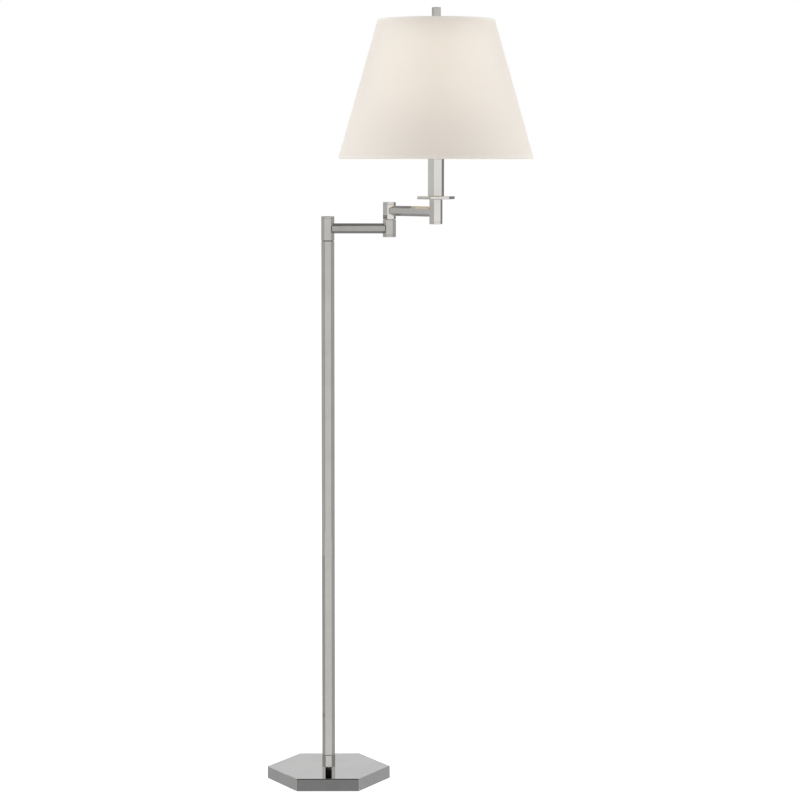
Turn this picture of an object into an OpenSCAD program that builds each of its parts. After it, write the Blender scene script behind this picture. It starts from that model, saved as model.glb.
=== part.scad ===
// Bridge floor lamp: a weighted hexagonal base and column, two stacked swing arms that turn
// on friction joints, and an empire shade that a harp carries over one lamp holder.
// Millimetres. The origin is the centre of the underside, on the column's axis. +Z is up,
// +X is the way the lower arm points, and -Y is the side that faces the viewer.

/* [Base] */
// Width of the base across its flats
base_af = 214; // [160:1:300]
// Height of the base
base_h = 25.5; // [23:0.5:40]
// Wall of the base cover
base_wall = 3; // [2:0.5:3]
// Bevel around the top edge of the base
base_bevel = 1.2; // [0.4:0.1:1.8]
// Thickness of the felt under the base
felt_t = 1.5; // [1:0.1:1.5]
// Height of the cover's rim above the floor
rim_lift = 0.8; // [0.2:0.1:0.9]
// Iron left above the recess for the nut in the base
weight_web = 2.7; // [2:0.1:2.7]
// Width of the cord channel under the weight
channel_w = 8; // [6:0.5:12]

/* [Column] */
// Width of the column and of the hexagonal blocks across their flats
bar_af = 22.6; // [22:0.2:30]
// Height of the top of the column
column_top = 1086; // [600:1:1500]
// Wall of the column tube
column_wall = 1.5; // [1:0.1:1.8]
// Length of the threaded plug in the foot of the column
foot_plug_h = 15; // [10:1:40]
// Length of the threaded plug in the top of the column
head_plug_h = 20; // [15:1:40]

/* [Arms] */
// Length of the lower arm, from the column's axis to the elbow's
lower_arm_len = 122; // [90:1:250]
// Length of the upper arm, from the elbow's axis to the head's
upper_arm_len = 134; // [90:1:250]
// Turn of the upper arm from straight, as the lamp stands
upper_arm_turn = -48; // [-90:1:90]
// Width of the arm rods across their flats
rod_af = 17.5; // [14:0.1:19]
// Bore of the arm rods
rod_bore = 7; // [6:0.2:8]
// Diameter of the round spigots at the ends of the arm rods
spigot_d = 12; // [10:0.2:13]
// Height of the shoulder block and of the head block, cap included
tall_block_h = 48.3; // [44:0.1:80]
// Height of each elbow block, cap included
short_block_h = 34.4; // [34:0.1:60]
// Thickness of the hexagonal end caps
cap_t = 4.5; // [3:0.1:6]
// Length of the spigots under the end caps
cap_spigot = 3; // [1:0.5:3]
// Bevel at the ends of the column and the blocks
bar_bevel = 0.6; // [0.2:0.1:1]

/* [Swivels] */
// Gap between the two halves of a swivel, which the thrust washer fills
seam = 0.6; // [0.4:0.1:1.5]
// Wall of a block that a swivel's spindle passes through
shelf_t = 5; // [4:0.1:5.3]
// Outer diameter of the threaded nipples and spindles
nipple_d = 10; // [9:0.1:11]
// Bore of the threaded nipples and spindles
nipple_bore = 6; // [5.4:0.1:6.5]
// Diameter of the thrust washer in the seam
thrust_d = 13.2; // [12:0.1:14]
// Thickness of the friction washer
friction_t = 0.8; // [0.5:0.1:1]
// Height of the spring washer
spring_t = 1; // [0.6:0.1:1.2]
// Width of the thin hexagon nuts across their flats
nut_af = 14; // [13:0.1:14.6]
// Height of the thin hexagon nuts
nut_h = 3; // [2:0.1:3.2]
// Diameter of the stop pins
pin_d = 2; // [1.5:0.1:2.4]
// Length of a stop pin inside the block that holds it
pin_hold = 3.5; // [2:0.1:3.8]
// Length of a stop pin inside its groove
pin_reach = 2; // [1:0.1:2.6]
// Turn of the shoulder each way from straight ahead
shoulder_travel = 165; // [60:1:165]
// Turn of the elbow each way from straight
elbow_travel = 155; // [60:1:160]

/* [Head] */
// Width of the drip plate across its flats
plate_af = 65; // [40:1:90]
// Thickness of the drip plate
plate_t = 6; // [3:0.5:12]
// Width of the sleeve across its flats
sleeve_af = 28; // [24:0.5:40]
// Height of the sleeve
sleeve_h = 84; // [50:1:140]
// Wall of the sleeve
sleeve_wall = 1.5; // [1:0.1:2.5]
// Thickness of the cap on the sleeve
sleeve_cap_t = 3; // [2:0.5:6]
// Width of the finial across its flats
finial_af = 15.3; // [12:0.1:24]
// Height of the hexagonal part of the finial
finial_h = 33.4; // [20:0.1:60]
// Turn of the finial where it came tight
finial_turn = -6; // [-30:1:30]

/* [Lamp holder] */
// Outer diameter of the holder's metal shell
holder_d = 32.2; // [31.6:0.1:36]
// Height of the shell
holder_h = 44; // [40:1:60]
// Diameter of the lamp's screw base
screw_d = 26; // [25.6:0.1:26.4]
// Height of the lamp's screw base
screw_h = 24; // [20:1:30]
// Diameter of the glass bulb
bulb_d = 60; // [45:1:64]
// Length of the lamp from its centre contact to its top
bulb_len = 108; // [98:1:125]
// Diameter of the switch knob
knob_d = 13; // [8:0.5:16]
// Length of the switch knob
knob_len = 13; // [8:0.5:20]

/* [Harp] */
// Height of the harp from the saddle to the middle of its top wire
harp_h = 233.5; // [220:0.5:300]
// Diameter of the harp's wire
harp_wire = 3.4; // [2.6:0.1:4]
// Distance between the middles of the harp's legs at the saddle
harp_spread = 67.6; // [60:0.5:76]
// Outward lean of the legs above the ferrules
harp_lean = 20; // [16:0.5:22]
// Radius of the harp's shoulders
harp_shoulder = 30; // [22:1:34]
// Thickness of the saddle
saddle_t = 1.6; // [1:0.1:3]
// Length of the sliding ferrules
ferrule_h = 14; // [10:0.5:16]
// Travel of the ferrules up the legs
ferrule_travel = 12; // [6:0.5:14]

/* [Shade] */
// Diameter of the shade's lower rim
shade_low_d = 378; // [330:1:480]
// Diameter of the shade's upper rim
shade_top_d = 226; // [180:1:300]
// Upright height of the shade
shade_h = 265.3; // [220:0.1:320]
// Depth of the spider below the shade's upper rim
spider_drop = 12.9; // [10:0.1:20]
// Diameter of the wire rings and of the spider's arms
ring_wire = 3.2; // [2:0.1:4]
// Thickness of the shade's cloth
cloth_t = 0.5; // [0.3:0.1:1]
// Thickness of the shade's stiff lining
lining_t = 0.4; // [0.3:0.1:1]
// Width of the tape folded over the rims
tape_w = 5; // [4:0.5:10]
// Thickness of that tape
tape_t = 0.4; // [0.2:0.1:1]

/* [Lead] */
// Diameter of the lead inside the column and the arms
lead_d = 4.6; // [4:0.1:5]
// Radius of the lead where it turns a corner
bend_r = 5; // [4.6:0.1:5]
// Bore of the bushing at the back of the base
bushing_bore = 6; // [5.2:0.1:6.4]
// Wall of the bushing
bushing_wall = 1.5; // [1.2:0.1:1.6]
// Rim and thickness of the bushing's two flanges
flange = 1.2; // [1:0.1:1.2]

/* [Hidden] */
$fn = 64;

// Clearances: a fixed fit, a running fit, the film of grease or glue between two faces,
// and the room round a loose part
fit = 0.05;
run = 0.06;
film = 0.02;
room = 0.3;
// A cut reaches this far past the face that it opens
past = 1;

// Heights in the base, from the recess under its top down to the cord's channel
weight_top = base_h - base_wall;
recess_top = weight_top - weight_web;
base_washer_t = 1.4;
base_nut_z = recess_top - base_washer_t - nut_h;
base_nipple_z = base_nut_z - 0.4;
cord_z = base_nipple_z - bend_r;
recess_r = corner_r(nut_af) + 6;
inner_af = base_af - 2 * base_wall;
weight_af = inner_af - 2 * room;
bushing_r = bushing_bore / 2 + bushing_wall;

// Column and blocks
tube_inner_af = bar_af - 2 * column_wall;
plug_af = tube_inner_af - 2 * fit;
cavity_r = corner_r(nut_af) + room + 0.1;
shoulder_z = column_top + seam;
lower_arm_z = shoulder_z + tall_block_h / 2;
elbow_low_z = lower_arm_z - short_block_h / 2;
elbow_seam_z = lower_arm_z + short_block_h / 2;
elbow_up_z = elbow_seam_z + seam;
upper_arm_z = elbow_up_z + short_block_h / 2;
head_z = upper_arm_z - tall_block_h / 2;
head_top_z = head_z + tall_block_h;

// A swivel, above the seam's lower face: washers, nut and the end of the spindle
friction_z = seam + shelf_t + film;
spring_z = friction_z + friction_t;
swivel_nut_z = spring_z + spring_t;
spindle_end = swivel_nut_z + nut_h + 1;
spindle_hold = 12;
pin_path_r = thrust_d / 2 + room + pin_d / 2;
groove_w = pin_d + 2 * room;
groove_depth = pin_reach + room;

// Head: the stack on the stem
stem_web = 12;
stem_nut_z = head_top_z - stem_web - nut_h;
stem_z = stem_nut_z - 1;
plate_z = head_top_z;
sleeve_z = plate_z + plate_t;
sleeve_cap_z = sleeve_z + sleeve_h;
saddle_z = sleeve_cap_z + sleeve_cap_t;
holder_z = saddle_z + saddle_t;

// Lamp holder, above the saddle
hub_r = 8;
hub_h = 8;
bowl_r = holder_d / 2 + 0.9 - hub_r;
bowl_wall = 0.8;
bowl_z = 7 + bowl_r;
cap_rim_h = 6;
shell_wall = 0.5;
shell_z = bowl_z + room;
liner_t = 0.8;
liner_r = holder_d / 2 - shell_wall - fit;
body_r = liner_r - liner_t - fit;
body_z = 11;
body_h = 20;
knob_z = bowl_z + cap_rim_h + 3.6;
shaft_r = 2;
contact_z = body_z + body_h;
contact_h = 1.6;
lamp_z = contact_z + contact_h;
base_taper = 4;
glass_z = lamp_z + base_taper + screw_h;
bulb_c_z = lamp_z + bulb_len - bulb_d / 2;

// Harp: legs, a long side curve and a tight shoulder, all tangent to each other
harp_r = harp_wire / 2;
leg_x = harp_spread / 2;
ear_bend = 4;
ear_h = 7;
ear_top = saddle_t + ear_bend + ear_h;
post_h = 7;
leg_top = ear_top + ferrule_h + ferrule_travel + 2;
kink_r = 12;
harp_flat = 6;
kink_end = [leg_x + kink_r * (1 - cos(harp_lean)), leg_top + kink_r * sin(harp_lean)];
shoulder_c = [harp_flat, harp_h - harp_shoulder];
to_shoulder = shoulder_c - kink_end;
side_r = (pow(harp_shoulder, 2) - to_shoulder * to_shoulder)
    / (2 * (cos(harp_lean) * to_shoulder.x - sin(harp_lean) * to_shoulder.y + harp_shoulder));
side_c = kink_end + side_r * [-cos(harp_lean), sin(harp_lean)];
side_end = atan2(shoulder_c.y - side_c.y, shoulder_c.x - side_c.x);
stud_r = 3.1;
collar_r = 5.2;
collar_top = saddle_z + harp_h + harp_r + 2.6;
washer_t = 2;

// Shade: (u, v) is a frame on the slope, u outward and v up along the cloth
slope = atan2((shade_low_d - shade_top_d) / 2, shade_h);
slope_len = shade_h / cos(slope);
arm_z = collar_top + washer_t / 2;
shade_top_z = arm_z + spider_drop;
shade_low_z = shade_top_z - shade_h;
ring_r = ring_wire / 2;
lining_u = -(cloth_t + film + lining_t);
ring_u = lining_u - film - ring_r;
ring_v = ring_r + 0.3;
ring_low = on_slope(ring_u, ring_v);
ring_top = on_slope(ring_u, slope_len - ring_v);
pocket_u = ring_u - ring_r - film;
pocket_w = film - pocket_u;
arm_bend = 5;
arm_in = 8.5;

NICKEL = [0.80, 0.79, 0.77];
STEEL = [0.66, 0.67, 0.69];
IRON = [0.24, 0.24, 0.25];
BRASS = [0.80, 0.64, 0.30];
FELT = [0.13, 0.13, 0.14];
RUBBER = [0.12, 0.12, 0.12];
NYLON = [0.92, 0.91, 0.87];
LEAD_GOLD = [0.72, 0.60, 0.36];
CLOTH = [0.95, 0.92, 0.86];
CARD = [0.62, 0.52, 0.40];
BAKELITE = [0.10, 0.09, 0.09];
GLASS = [1.00, 0.97, 0.90];

// Distance from the centre of a hexagon to its corners
function corner_r(af) = af / sqrt(3);

// Point of the shade's section at u outward and v up the slope, as [radius, height]
function on_slope(u, v) = [
    shade_low_d / 2 + u * cos(slope) - v * sin(slope),
    shade_low_z + u * sin(slope) + v * cos(slope)
];

// Half section of a hexagonal block across its flats, with bevels at its two ends
function half_section(half, h, low, high) = concat(
    low > 0 ? [[half - low, 0], [half, low]] : [[half, 0]],
    high > 0 ? [[half, h - high], [half - high, h]] : [[half, h]]
);

// ---- Shapes that repeat ----

// Plain hexagonal bar with corners on the X axis
module hex_bar(af, h) {
    cylinder(r = corner_r(af), h = h, $fn = 6);
}

// Hexagonal bar with bevelled ends: three bevelled slabs at 60 degrees to each other
module bevelled_hex(af, h, low = 0, high = 0) {
    right = half_section(af / 2, h, low, high);
    left = [for (i = [len(right) - 1:-1:0]) [-right[i].x, right[i].y]];
    intersection_for (turn = [0, 60, 120])
        rotate([90, 0, 90 + turn])
            linear_extrude(2 * af, center = true)
                polygon(concat(right, left));
}

// Bore along +Z that also opens the faces at both ends
module bore(r, h) {
    translate([0, 0, -past]) cylinder(r = r, h = h + 2 * past);
}

module ring(r, inner_r, h) {
    difference() {
        cylinder(r = r, h = h);
        bore(inner_r, h);
    }
}

module nut() {
    difference() {
        bevelled_hex(nut_af, nut_h, 0.3, 0.3);
        bore(nipple_d / 2 + fit, nut_h);
    }
}

// Hollow threaded rod, from one height to another
module nipple(z_low, z_high) {
    translate([0, 0, z_low]) ring(nipple_d / 2, nipple_bore / 2, z_high - z_low);
}

// Round wire along an arc in the XZ plane, about the point c = [x, z]
module wire_arc(c, r, start, sweep, wire_r) {
    translate([c.x, 0, c.y]) rotate([90, 0, 0]) rotate([0, 0, start])
        rotate_extrude(angle = sweep) translate([r, 0]) circle(wire_r);
}

// Hexagonal end cap with a round spigot under it
module end_cap() {
    bevelled_hex(bar_af, cap_t, bar_bevel / 2, bar_bevel);
    translate([0, 0, -cap_spigot]) cylinder(r = cavity_r - fit, h = cap_spigot + 0.5);
}

// Hexagonal block with its shelf at the bottom, its cavity open at the top for an end cap,
// and a round socket toward +X for an arm's spigot; the height leaves the cap out
module swivel_block(h, arm_z, socket_turn) {
    difference() {
        bevelled_hex(bar_af, h, bar_bevel, bar_bevel / 2);
        translate([0, 0, shelf_t]) cylinder(r = cavity_r, h = h);
        rotate([0, 0, socket_turn]) translate([0, 0, arm_z]) rotate([0, 90, 0])
            cylinder(r = spigot_d / 2 + fit, h = bar_af);
        children();
    }
}

// Groove in the underside of a turning block, in which its stop pin runs
module stop_groove(travel) {
    rotate([0, 0, 180 - travel]) translate([0, 0, -past])
        rotate_extrude(angle = 2 * travel) translate([pin_path_r - groove_w / 2, 0])
            square([groove_w, groove_depth + past]);
    for (side = [-1, 1]) rotate([0, 0, 180 + side * travel])
        translate([pin_path_r, 0, -past]) cylinder(d = groove_w, h = groove_depth + past);
}

// Arm rod along +X between the axes of two hexagonal blocks: its ends are notched to sit on
// two facets of each block, and a spigot enters each block
module arm_rod(len) {
    spigot_in = cavity_r + 0.4;
    difference() {
        union() {
            difference() {
                rotate([0, 90, 0]) hex_bar(rod_af, len);
                for (x = [0, len]) translate([x, 0, -rod_af]) hex_bar(bar_af, 2 * rod_af);
            }
            translate([spigot_in, 0, 0]) rotate([0, 90, 0])
                cylinder(d = spigot_d, h = len - 2 * spigot_in);
        }
        rotate([0, 90, 0]) bore(rod_bore / 2, len);
    }
}

// Places of the joints: the elbow's axis, turned with the upper arm, and the head's axis,
// turned with the upper arm or square to the column
module at_elbow() {
    translate([lower_arm_len, 0, 0]) rotate([0, 0, upper_arm_turn]) children();
}

module at_head() {
    at_elbow() translate([upper_arm_len, 0, 0]) children();
}

module at_head_square() {
    at_head() rotate([0, 0, -upper_arm_turn]) children();
}

// ---- Base ----

// Cut for the lead: a channel toward +Y with room for the bushing's inner flange at its end
module cord_channel() {
    roof = cord_z + bushing_bore / 2;
    pocket = 2 * (bushing_r + flange + room);
    translate([-channel_w / 2, 0, 0]) cube([channel_w, base_af, roof]);
    translate([-pocket / 2, weight_af / 2 - flange - room, 0])
        cube([pocket, base_af, cord_z + pocket / 2]);
}

module base_felt() {
    color(FELT) hex_bar(weight_af, felt_t);
}

module base_weight() {
    color(IRON) difference() {
        translate([0, 0, felt_t]) hex_bar(weight_af, weight_top - felt_t);
        cylinder(r = recess_r, h = recess_top);
        translate([0, 0, recess_top]) bore(nipple_d / 2 + room, weight_web);
        cord_channel();
    }
}

module base_cover() {
    color(NICKEL) difference() {
        translate([0, 0, rim_lift]) bevelled_hex(base_af, base_h - rim_lift, 0, base_bevel);
        hex_bar(inner_af, weight_top);
        bore(nipple_d / 2 + fit, base_h);
        translate([0, base_af / 2 + past, cord_z]) rotate([90, 0, 0])
            cylinder(r = bushing_r + fit, h = base_wall + 2 * past);
    }
}

module cord_bushing() {
    color(RUBBER) translate([0, base_af / 2 + flange, cord_z]) rotate([90, 0, 0])
        difference() {
            union() {
                cylinder(r = bushing_r, h = base_wall + 2 * flange);
                for (z = [0, flange + base_wall]) translate([0, 0, z])
                    cylinder(r = bushing_r + flange, h = flange);
            }
            bore(bushing_bore / 2, base_wall + 2 * flange);
        }
}

module base_nipple() {
    color(BRASS) nipple(base_nipple_z, base_h + foot_plug_h);
}

module base_washer() {
    color(STEEL) translate([0, 0, recess_top - base_washer_t])
        ring(recess_r - room, nipple_d / 2 + fit, base_washer_t);
}

module base_nut() {
    color(BRASS) translate([0, 0, base_nut_z]) nut();
}

// ---- Column ----

// Threaded plug that fills the column tube
module column_plug(h) {
    difference() {
        hex_bar(plug_af, h);
        bore(nipple_d / 2 + fit, h);
    }
}

module column_foot_plug() {
    color(STEEL) translate([0, 0, base_h]) column_plug(foot_plug_h);
}

module column_tube() {
    h = column_top - base_h;
    color(NICKEL) translate([0, 0, base_h]) difference() {
        bevelled_hex(bar_af, h, 0, bar_bevel);
        translate([0, 0, -past]) hex_bar(tube_inner_af, h + 2 * past);
    }
}

module column_head_plug() {
    color(STEEL) difference() {
        translate([0, 0, column_top - head_plug_h]) column_plug(head_plug_h);
        stop_pin_hole(column_top);
    }
}

module column_lead() {
    color(LEAD_GOLD) {
        run_y = base_af / 2 - base_wall - flange;
        rotate([0, 0, 90]) {
            translate([bend_r, 0, cord_z]) rotate([0, 90, 0])
                cylinder(d = lead_d, h = run_y - bend_r);
            wire_arc([bend_r, cord_z + bend_r], bend_r, 180, 90, lead_d / 2);
        }
        translate([0, 0, cord_z + bend_r])
            cylinder(d = lead_d, h = column_top + spindle_end - cord_z - bend_r);
    }
}

// ---- Swivels: each takes the height of the seam's lower face ----

module stop_pin(z) {
    translate([-pin_path_r, 0, z - pin_hold]) cylinder(d = pin_d, h = pin_hold + seam + pin_reach);
}

module stop_pin_hole(z) {
    translate([-pin_path_r, 0, z - pin_hold]) cylinder(d = pin_d + 2 * fit, h = pin_hold + past);
}

module thrust_washer(z) {
    translate([0, 0, z]) ring(thrust_d / 2, nipple_d / 2 + run, seam);
}

module friction_washer(z) {
    translate([0, 0, z + friction_z]) ring(cavity_r - room, nipple_d / 2 + run, friction_t);
}

// Slightly coned spring washer
module spring_washer(z) {
    rise = spring_t / 3;
    inner = nipple_d / 2 + run;
    outer = cavity_r - room;
    translate([0, 0, z + spring_z]) rotate_extrude()
        polygon([[inner, rise], [outer, 0], [outer, spring_t - rise], [inner, spring_t]]);
}

module shoulder_spindle() {
    color(BRASS) nipple(column_top - spindle_hold, column_top + spindle_end);
}

module shoulder_thrust_washer() {
    color(NYLON) thrust_washer(column_top);
}

module shoulder_friction_washer() {
    color(BRASS) friction_washer(column_top);
}

module shoulder_spring_washer() {
    color(STEEL) spring_washer(column_top);
}

module shoulder_nut() {
    color(BRASS) translate([0, 0, column_top + swivel_nut_z]) nut();
}

module shoulder_stop_pin() {
    color(STEEL) stop_pin(column_top);
}

// ---- Lower arm ----

module shoulder_block() {
    color(NICKEL) translate([0, 0, shoulder_z])
        swivel_block(tall_block_h - cap_t, tall_block_h / 2, 0) {
            bore(nipple_d / 2 + run, shelf_t);
            stop_groove(shoulder_travel);
        }
}

module shoulder_cap() {
    color(NICKEL) translate([0, 0, shoulder_z + tall_block_h - cap_t]) end_cap();
}

module lower_arm_rod() {
    color(NICKEL) translate([0, 0, lower_arm_z]) arm_rod(lower_arm_len);
}

// The lower elbow block hangs from its shelf, so it is a swivel block turned over
module elbow_lower_block() {
    color(NICKEL) difference() {
        translate([lower_arm_len, 0, elbow_seam_z]) mirror([0, 0, 1])
            swivel_block(short_block_h - cap_t, short_block_h / 2, 180)
                bore(nipple_d / 2 + fit, shelf_t);
        translate([lower_arm_len, 0, 0]) stop_pin_hole(elbow_seam_z);
    }
}

module elbow_bottom_cap() {
    color(NICKEL) translate([lower_arm_len, 0, elbow_low_z + cap_t]) mirror([0, 0, 1]) end_cap();
}

module elbow_spindle() {
    color(BRASS) translate([lower_arm_len, 0, elbow_seam_z])
        nipple(-shelf_t - nut_h - 1, spindle_end);
}

// One nut locks the spindle under the lower block, the other holds the upper block down
module elbow_nuts() {
    color(BRASS) translate([lower_arm_len, 0, elbow_seam_z])
        for (z = [-shelf_t - nut_h, swivel_nut_z]) translate([0, 0, z]) nut();
}

module elbow_thrust_washer() {
    color(NYLON) translate([lower_arm_len, 0, 0]) thrust_washer(elbow_seam_z);
}

module elbow_friction_washer() {
    color(BRASS) translate([lower_arm_len, 0, 0]) friction_washer(elbow_seam_z);
}

module elbow_spring_washer() {
    color(STEEL) translate([lower_arm_len, 0, 0]) spring_washer(elbow_seam_z);
}

module elbow_stop_pin() {
    color(STEEL) translate([lower_arm_len, 0, 0]) stop_pin(elbow_seam_z);
}

// Lead that leaves a spindle's end at z_start, turns into an arm and climbs at the arm's end
module arm_lead(z_start, z_arm, len, z_end) {
    translate([0, 0, z_start]) cylinder(d = lead_d, h = z_arm - bend_r - z_start);
    wire_arc([bend_r, z_arm - bend_r], bend_r, 90, 90, lead_d / 2);
    translate([bend_r, 0, z_arm]) rotate([0, 90, 0])
        cylinder(d = lead_d, h = len - 2 * bend_r);
    wire_arc([len - bend_r, z_arm + bend_r], bend_r, -90, 90, lead_d / 2);
    translate([len, 0, z_arm + bend_r]) cylinder(d = lead_d, h = z_end - z_arm - bend_r);
}

module lower_arm_lead() {
    color(LEAD_GOLD) arm_lead(column_top + spindle_end, lower_arm_z, lower_arm_len,
        elbow_seam_z + spindle_end);
}

// ---- Upper arm ----

module elbow_upper_block() {
    color(NICKEL) at_elbow() translate([0, 0, elbow_up_z])
        swivel_block(short_block_h - cap_t, short_block_h / 2, 0) {
            bore(nipple_d / 2 + run, shelf_t);
            stop_groove(elbow_travel);
        }
}

module elbow_top_cap() {
    color(NICKEL) at_elbow() translate([0, 0, elbow_up_z + short_block_h - cap_t]) end_cap();
}

module upper_arm_rod() {
    color(NICKEL) at_elbow() translate([0, 0, upper_arm_z]) arm_rod(upper_arm_len);
}

// The head block is open below for its cap, and tapped above for the stem
module head_block() {
    h = tall_block_h - cap_t;
    color(NICKEL) at_head() translate([0, 0, head_z + cap_t]) difference() {
        bevelled_hex(bar_af, h, bar_bevel / 2, bar_bevel);
        translate([0, 0, -past]) cylinder(r = cavity_r, h = h - stem_web + past);
        bore(nipple_d / 2 + fit, h);
        translate([0, 0, tall_block_h / 2 - cap_t]) rotate([0, -90, 0])
            cylinder(r = spigot_d / 2 + fit, h = bar_af);
    }
}

module head_bottom_cap() {
    color(NICKEL) at_head() translate([0, 0, head_z + cap_t]) mirror([0, 0, 1]) end_cap();
}

module stem_nut() {
    color(BRASS) at_head() translate([0, 0, stem_nut_z]) nut();
}

module stem_nipple() {
    color(BRASS) at_head() nipple(stem_z, holder_z + hub_h - 1);
}

module drip_plate() {
    color(NICKEL) at_head() translate([0, 0, plate_z]) difference() {
        bevelled_hex(plate_af, plate_t, bar_bevel, bar_bevel);
        bore(nipple_d / 2 + fit, plate_t);
    }
}

module sleeve() {
    color(NICKEL) at_head() translate([0, 0, sleeve_z]) difference() {
        bevelled_hex(sleeve_af, sleeve_h, bar_bevel / 2, bar_bevel / 2);
        translate([0, 0, -past]) hex_bar(sleeve_af - 2 * sleeve_wall, sleeve_h + 2 * past);
    }
}

module sleeve_cap() {
    color(NICKEL) at_head() translate([0, 0, sleeve_cap_z]) difference() {
        union() {
            bevelled_hex(sleeve_af, sleeve_cap_t, bar_bevel / 2, bar_bevel);
            translate([0, 0, -4])
                hex_bar(sleeve_af - 2 * sleeve_wall - 2 * fit, 4 + sleeve_cap_t / 2);
        }
        translate([0, 0, -4]) bore(nipple_d / 2 + fit, 4 + sleeve_cap_t);
    }
}

module upper_arm_lead() {
    color(LEAD_GOLD) at_elbow() arm_lead(elbow_seam_z + spindle_end, upper_arm_z,
        upper_arm_len, holder_z + body_z);
}

// ---- Harp ----

// Flat strap with a round eye, turned up at both ends into ears that carry the posts
module harp_saddle() {
    strap_w = 14;
    ear_w = 7;
    turn_r = ear_bend + saddle_t / 2;
    color(STEEL) at_head_square() translate([0, 0, saddle_z]) {
        difference() {
            union() {
                cylinder(r = 13, h = saddle_t);
                translate([-leg_x + turn_r, -strap_w / 2, 0])
                    cube([2 * (leg_x - turn_r), strap_w, saddle_t]);
            }
            bore(nipple_d / 2 + fit, saddle_t);
        }
        for (side = [0, 180]) rotate([0, 0, side]) {
            translate([leg_x - turn_r, strap_w / 2, saddle_t / 2 + turn_r]) rotate([90, 0, 0])
                rotate([0, 0, -90]) rotate_extrude_strap(turn_r, strap_w);
            translate([leg_x - saddle_t / 2, -ear_w / 2, saddle_t / 2 + turn_r])
                cube([saddle_t, ear_w, ear_top - saddle_t / 2 - turn_r]);
            translate([leg_x, 0, ear_top - 0.5]) cylinder(r = harp_r, h = post_h + 0.5);
        }
    }
}

// Quarter turn of the strap about its middle radius
module rotate_extrude_strap(r, w) {
    rotate_extrude(angle = 90) translate([r - saddle_t / 2, 0]) square([saddle_t, w]);
}

// Right half of the harp's bow as [x, z, outward direction]: kink, side, then shoulder
half_bow = concat(
    [[leg_x, leg_top - 0.5, 0]],
    [for (i = [0:3]) let (a = harp_lean * i / 4)
        [leg_x + kink_r * (1 - cos(a)), leg_top + kink_r * sin(a), -a]],
    [for (i = [0:11]) let (a = (side_end + harp_lean) * i / 12 - harp_lean)
        [side_c.x + side_r * cos(a), side_c.y + side_r * sin(a), a]],
    [for (i = [0:8]) let (a = side_end + (90 - side_end) * i / 8)
        [shoulder_c.x + harp_shoulder * cos(a), shoulder_c.y + harp_shoulder * sin(a), a]]
);

// Bow of the harp from leg to leg: a round wire swept along its path, lapping over the legs
module harp_bow() {
    sides = 12;
    r = (harp_r + 0.02) / cos(180 / sides);
    last = len(half_bow) - 1;
    path = concat(half_bow,
        [for (i = [last:-1:0]) [-half_bow[i].x, half_bow[i].y, 180 - half_bow[i].z]]);
    points = [for (p = path) for (k = [0:sides - 1]) let (a = 360 * k / sides)
        [p.x + r * cos(a) * cos(p.z), r * sin(a), p.y + r * cos(a) * sin(p.z)]];
    walls = [for (j = [0:len(path) - 2]) for (k = [0:sides - 1])
        let (a = j * sides + k, b = j * sides + (k + 1) % sides)
            each [[a, b + sides, b], [a, a + sides, b + sides]]];
    ends = [[for (k = [0:sides - 1]) k],
        [for (k = [sides - 1:-1:0]) (len(path) - 1) * sides + k]];
    polyhedron(points, concat(walls, ends));
}

module harp() {
    color(STEEL) at_head_square() translate([0, 0, saddle_z]) {
        for (side = [-1, 1]) translate([side * leg_x, 0, ear_top + post_h])
            cylinder(r = harp_r, h = leg_top - ear_top - post_h);
        harp_bow();
        translate([0, 0, harp_h - harp_r - 1])
            cylinder(r = collar_r, h = collar_top - saddle_z - harp_h + harp_r + 1);
        translate([0, 0, collar_top - saddle_z]) cylinder(r = stud_r, h = washer_t + 12);
    }
}

// Sleeve that locks one leg of the harp to its post
module ferrule(side) {
    color(STEEL) at_head_square() translate([side * leg_x, 0, saddle_z + ear_top]) difference() {
        union() {
            cylinder(r = harp_r + 1, h = ferrule_h);
            for (z = [0, ferrule_h - 2]) translate([0, 0, z]) cylinder(r = harp_r + 1.5, h = 2);
        }
        bore(harp_r + run, ferrule_h);
    }
}

module harp_ferrule_left() {
    ferrule(-1);
}

module harp_ferrule_right() {
    ferrule(1);
}

// ---- Lamp holder ----

module at_holder() {
    at_head_square() translate([0, 0, holder_z]) children();
}

// Half section of the holder cap's bowl, less t all round: a quarter round under a rim
module bowl_section(t) {
    intersection() {
        translate([hub_r, bowl_z]) circle(bowl_r - t);
        translate([0, bowl_z - bowl_r]) square([hub_r + bowl_r, bowl_r]);
    }
    translate([0, bowl_z - bowl_r + t]) square([hub_r, bowl_r - t]);
    translate([0, bowl_z]) square([hub_r + bowl_r - t, cap_rim_h + (t > 0 ? past : 0)]);
}

module holder_cap() {
    color(BRASS) at_holder() difference() {
        rotate_extrude() difference() {
            union() {
                bowl_section(0);
                square([hub_r, hub_h]);
            }
            difference() {
                bowl_section(bowl_wall);
                square([hub_r + 0.01, hub_h]);
            }
        }
        bore(nipple_d / 2 + fit, hub_h);
    }
}

// Hole toward -Y for the switch shaft
module shaft_hole(r, depth) {
    translate([0, 0, knob_z]) rotate([90, 0, 0]) cylinder(r = r, h = depth);
}

module holder_shell() {
    color(BRASS) at_holder() difference() {
        union() {
            translate([0, 0, shell_z]) cylinder(d = holder_d, h = holder_h);
            translate([0, 0, shell_z + holder_h - 2]) rotate_extrude()
                translate([holder_d / 2 - 0.2, 0]) circle(0.8);
        }
        translate([0, 0, shell_z]) bore(holder_d / 2 - shell_wall, holder_h);
        shaft_hole(shaft_r + 0.6, holder_d);
    }
}

module holder_liner() {
    color(CARD) at_holder() difference() {
        translate([0, 0, shell_z]) ring(liner_r, liner_r - liner_t, holder_h - 3);
        shaft_hole(shaft_r + 0.6, holder_d);
    }
}

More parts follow.
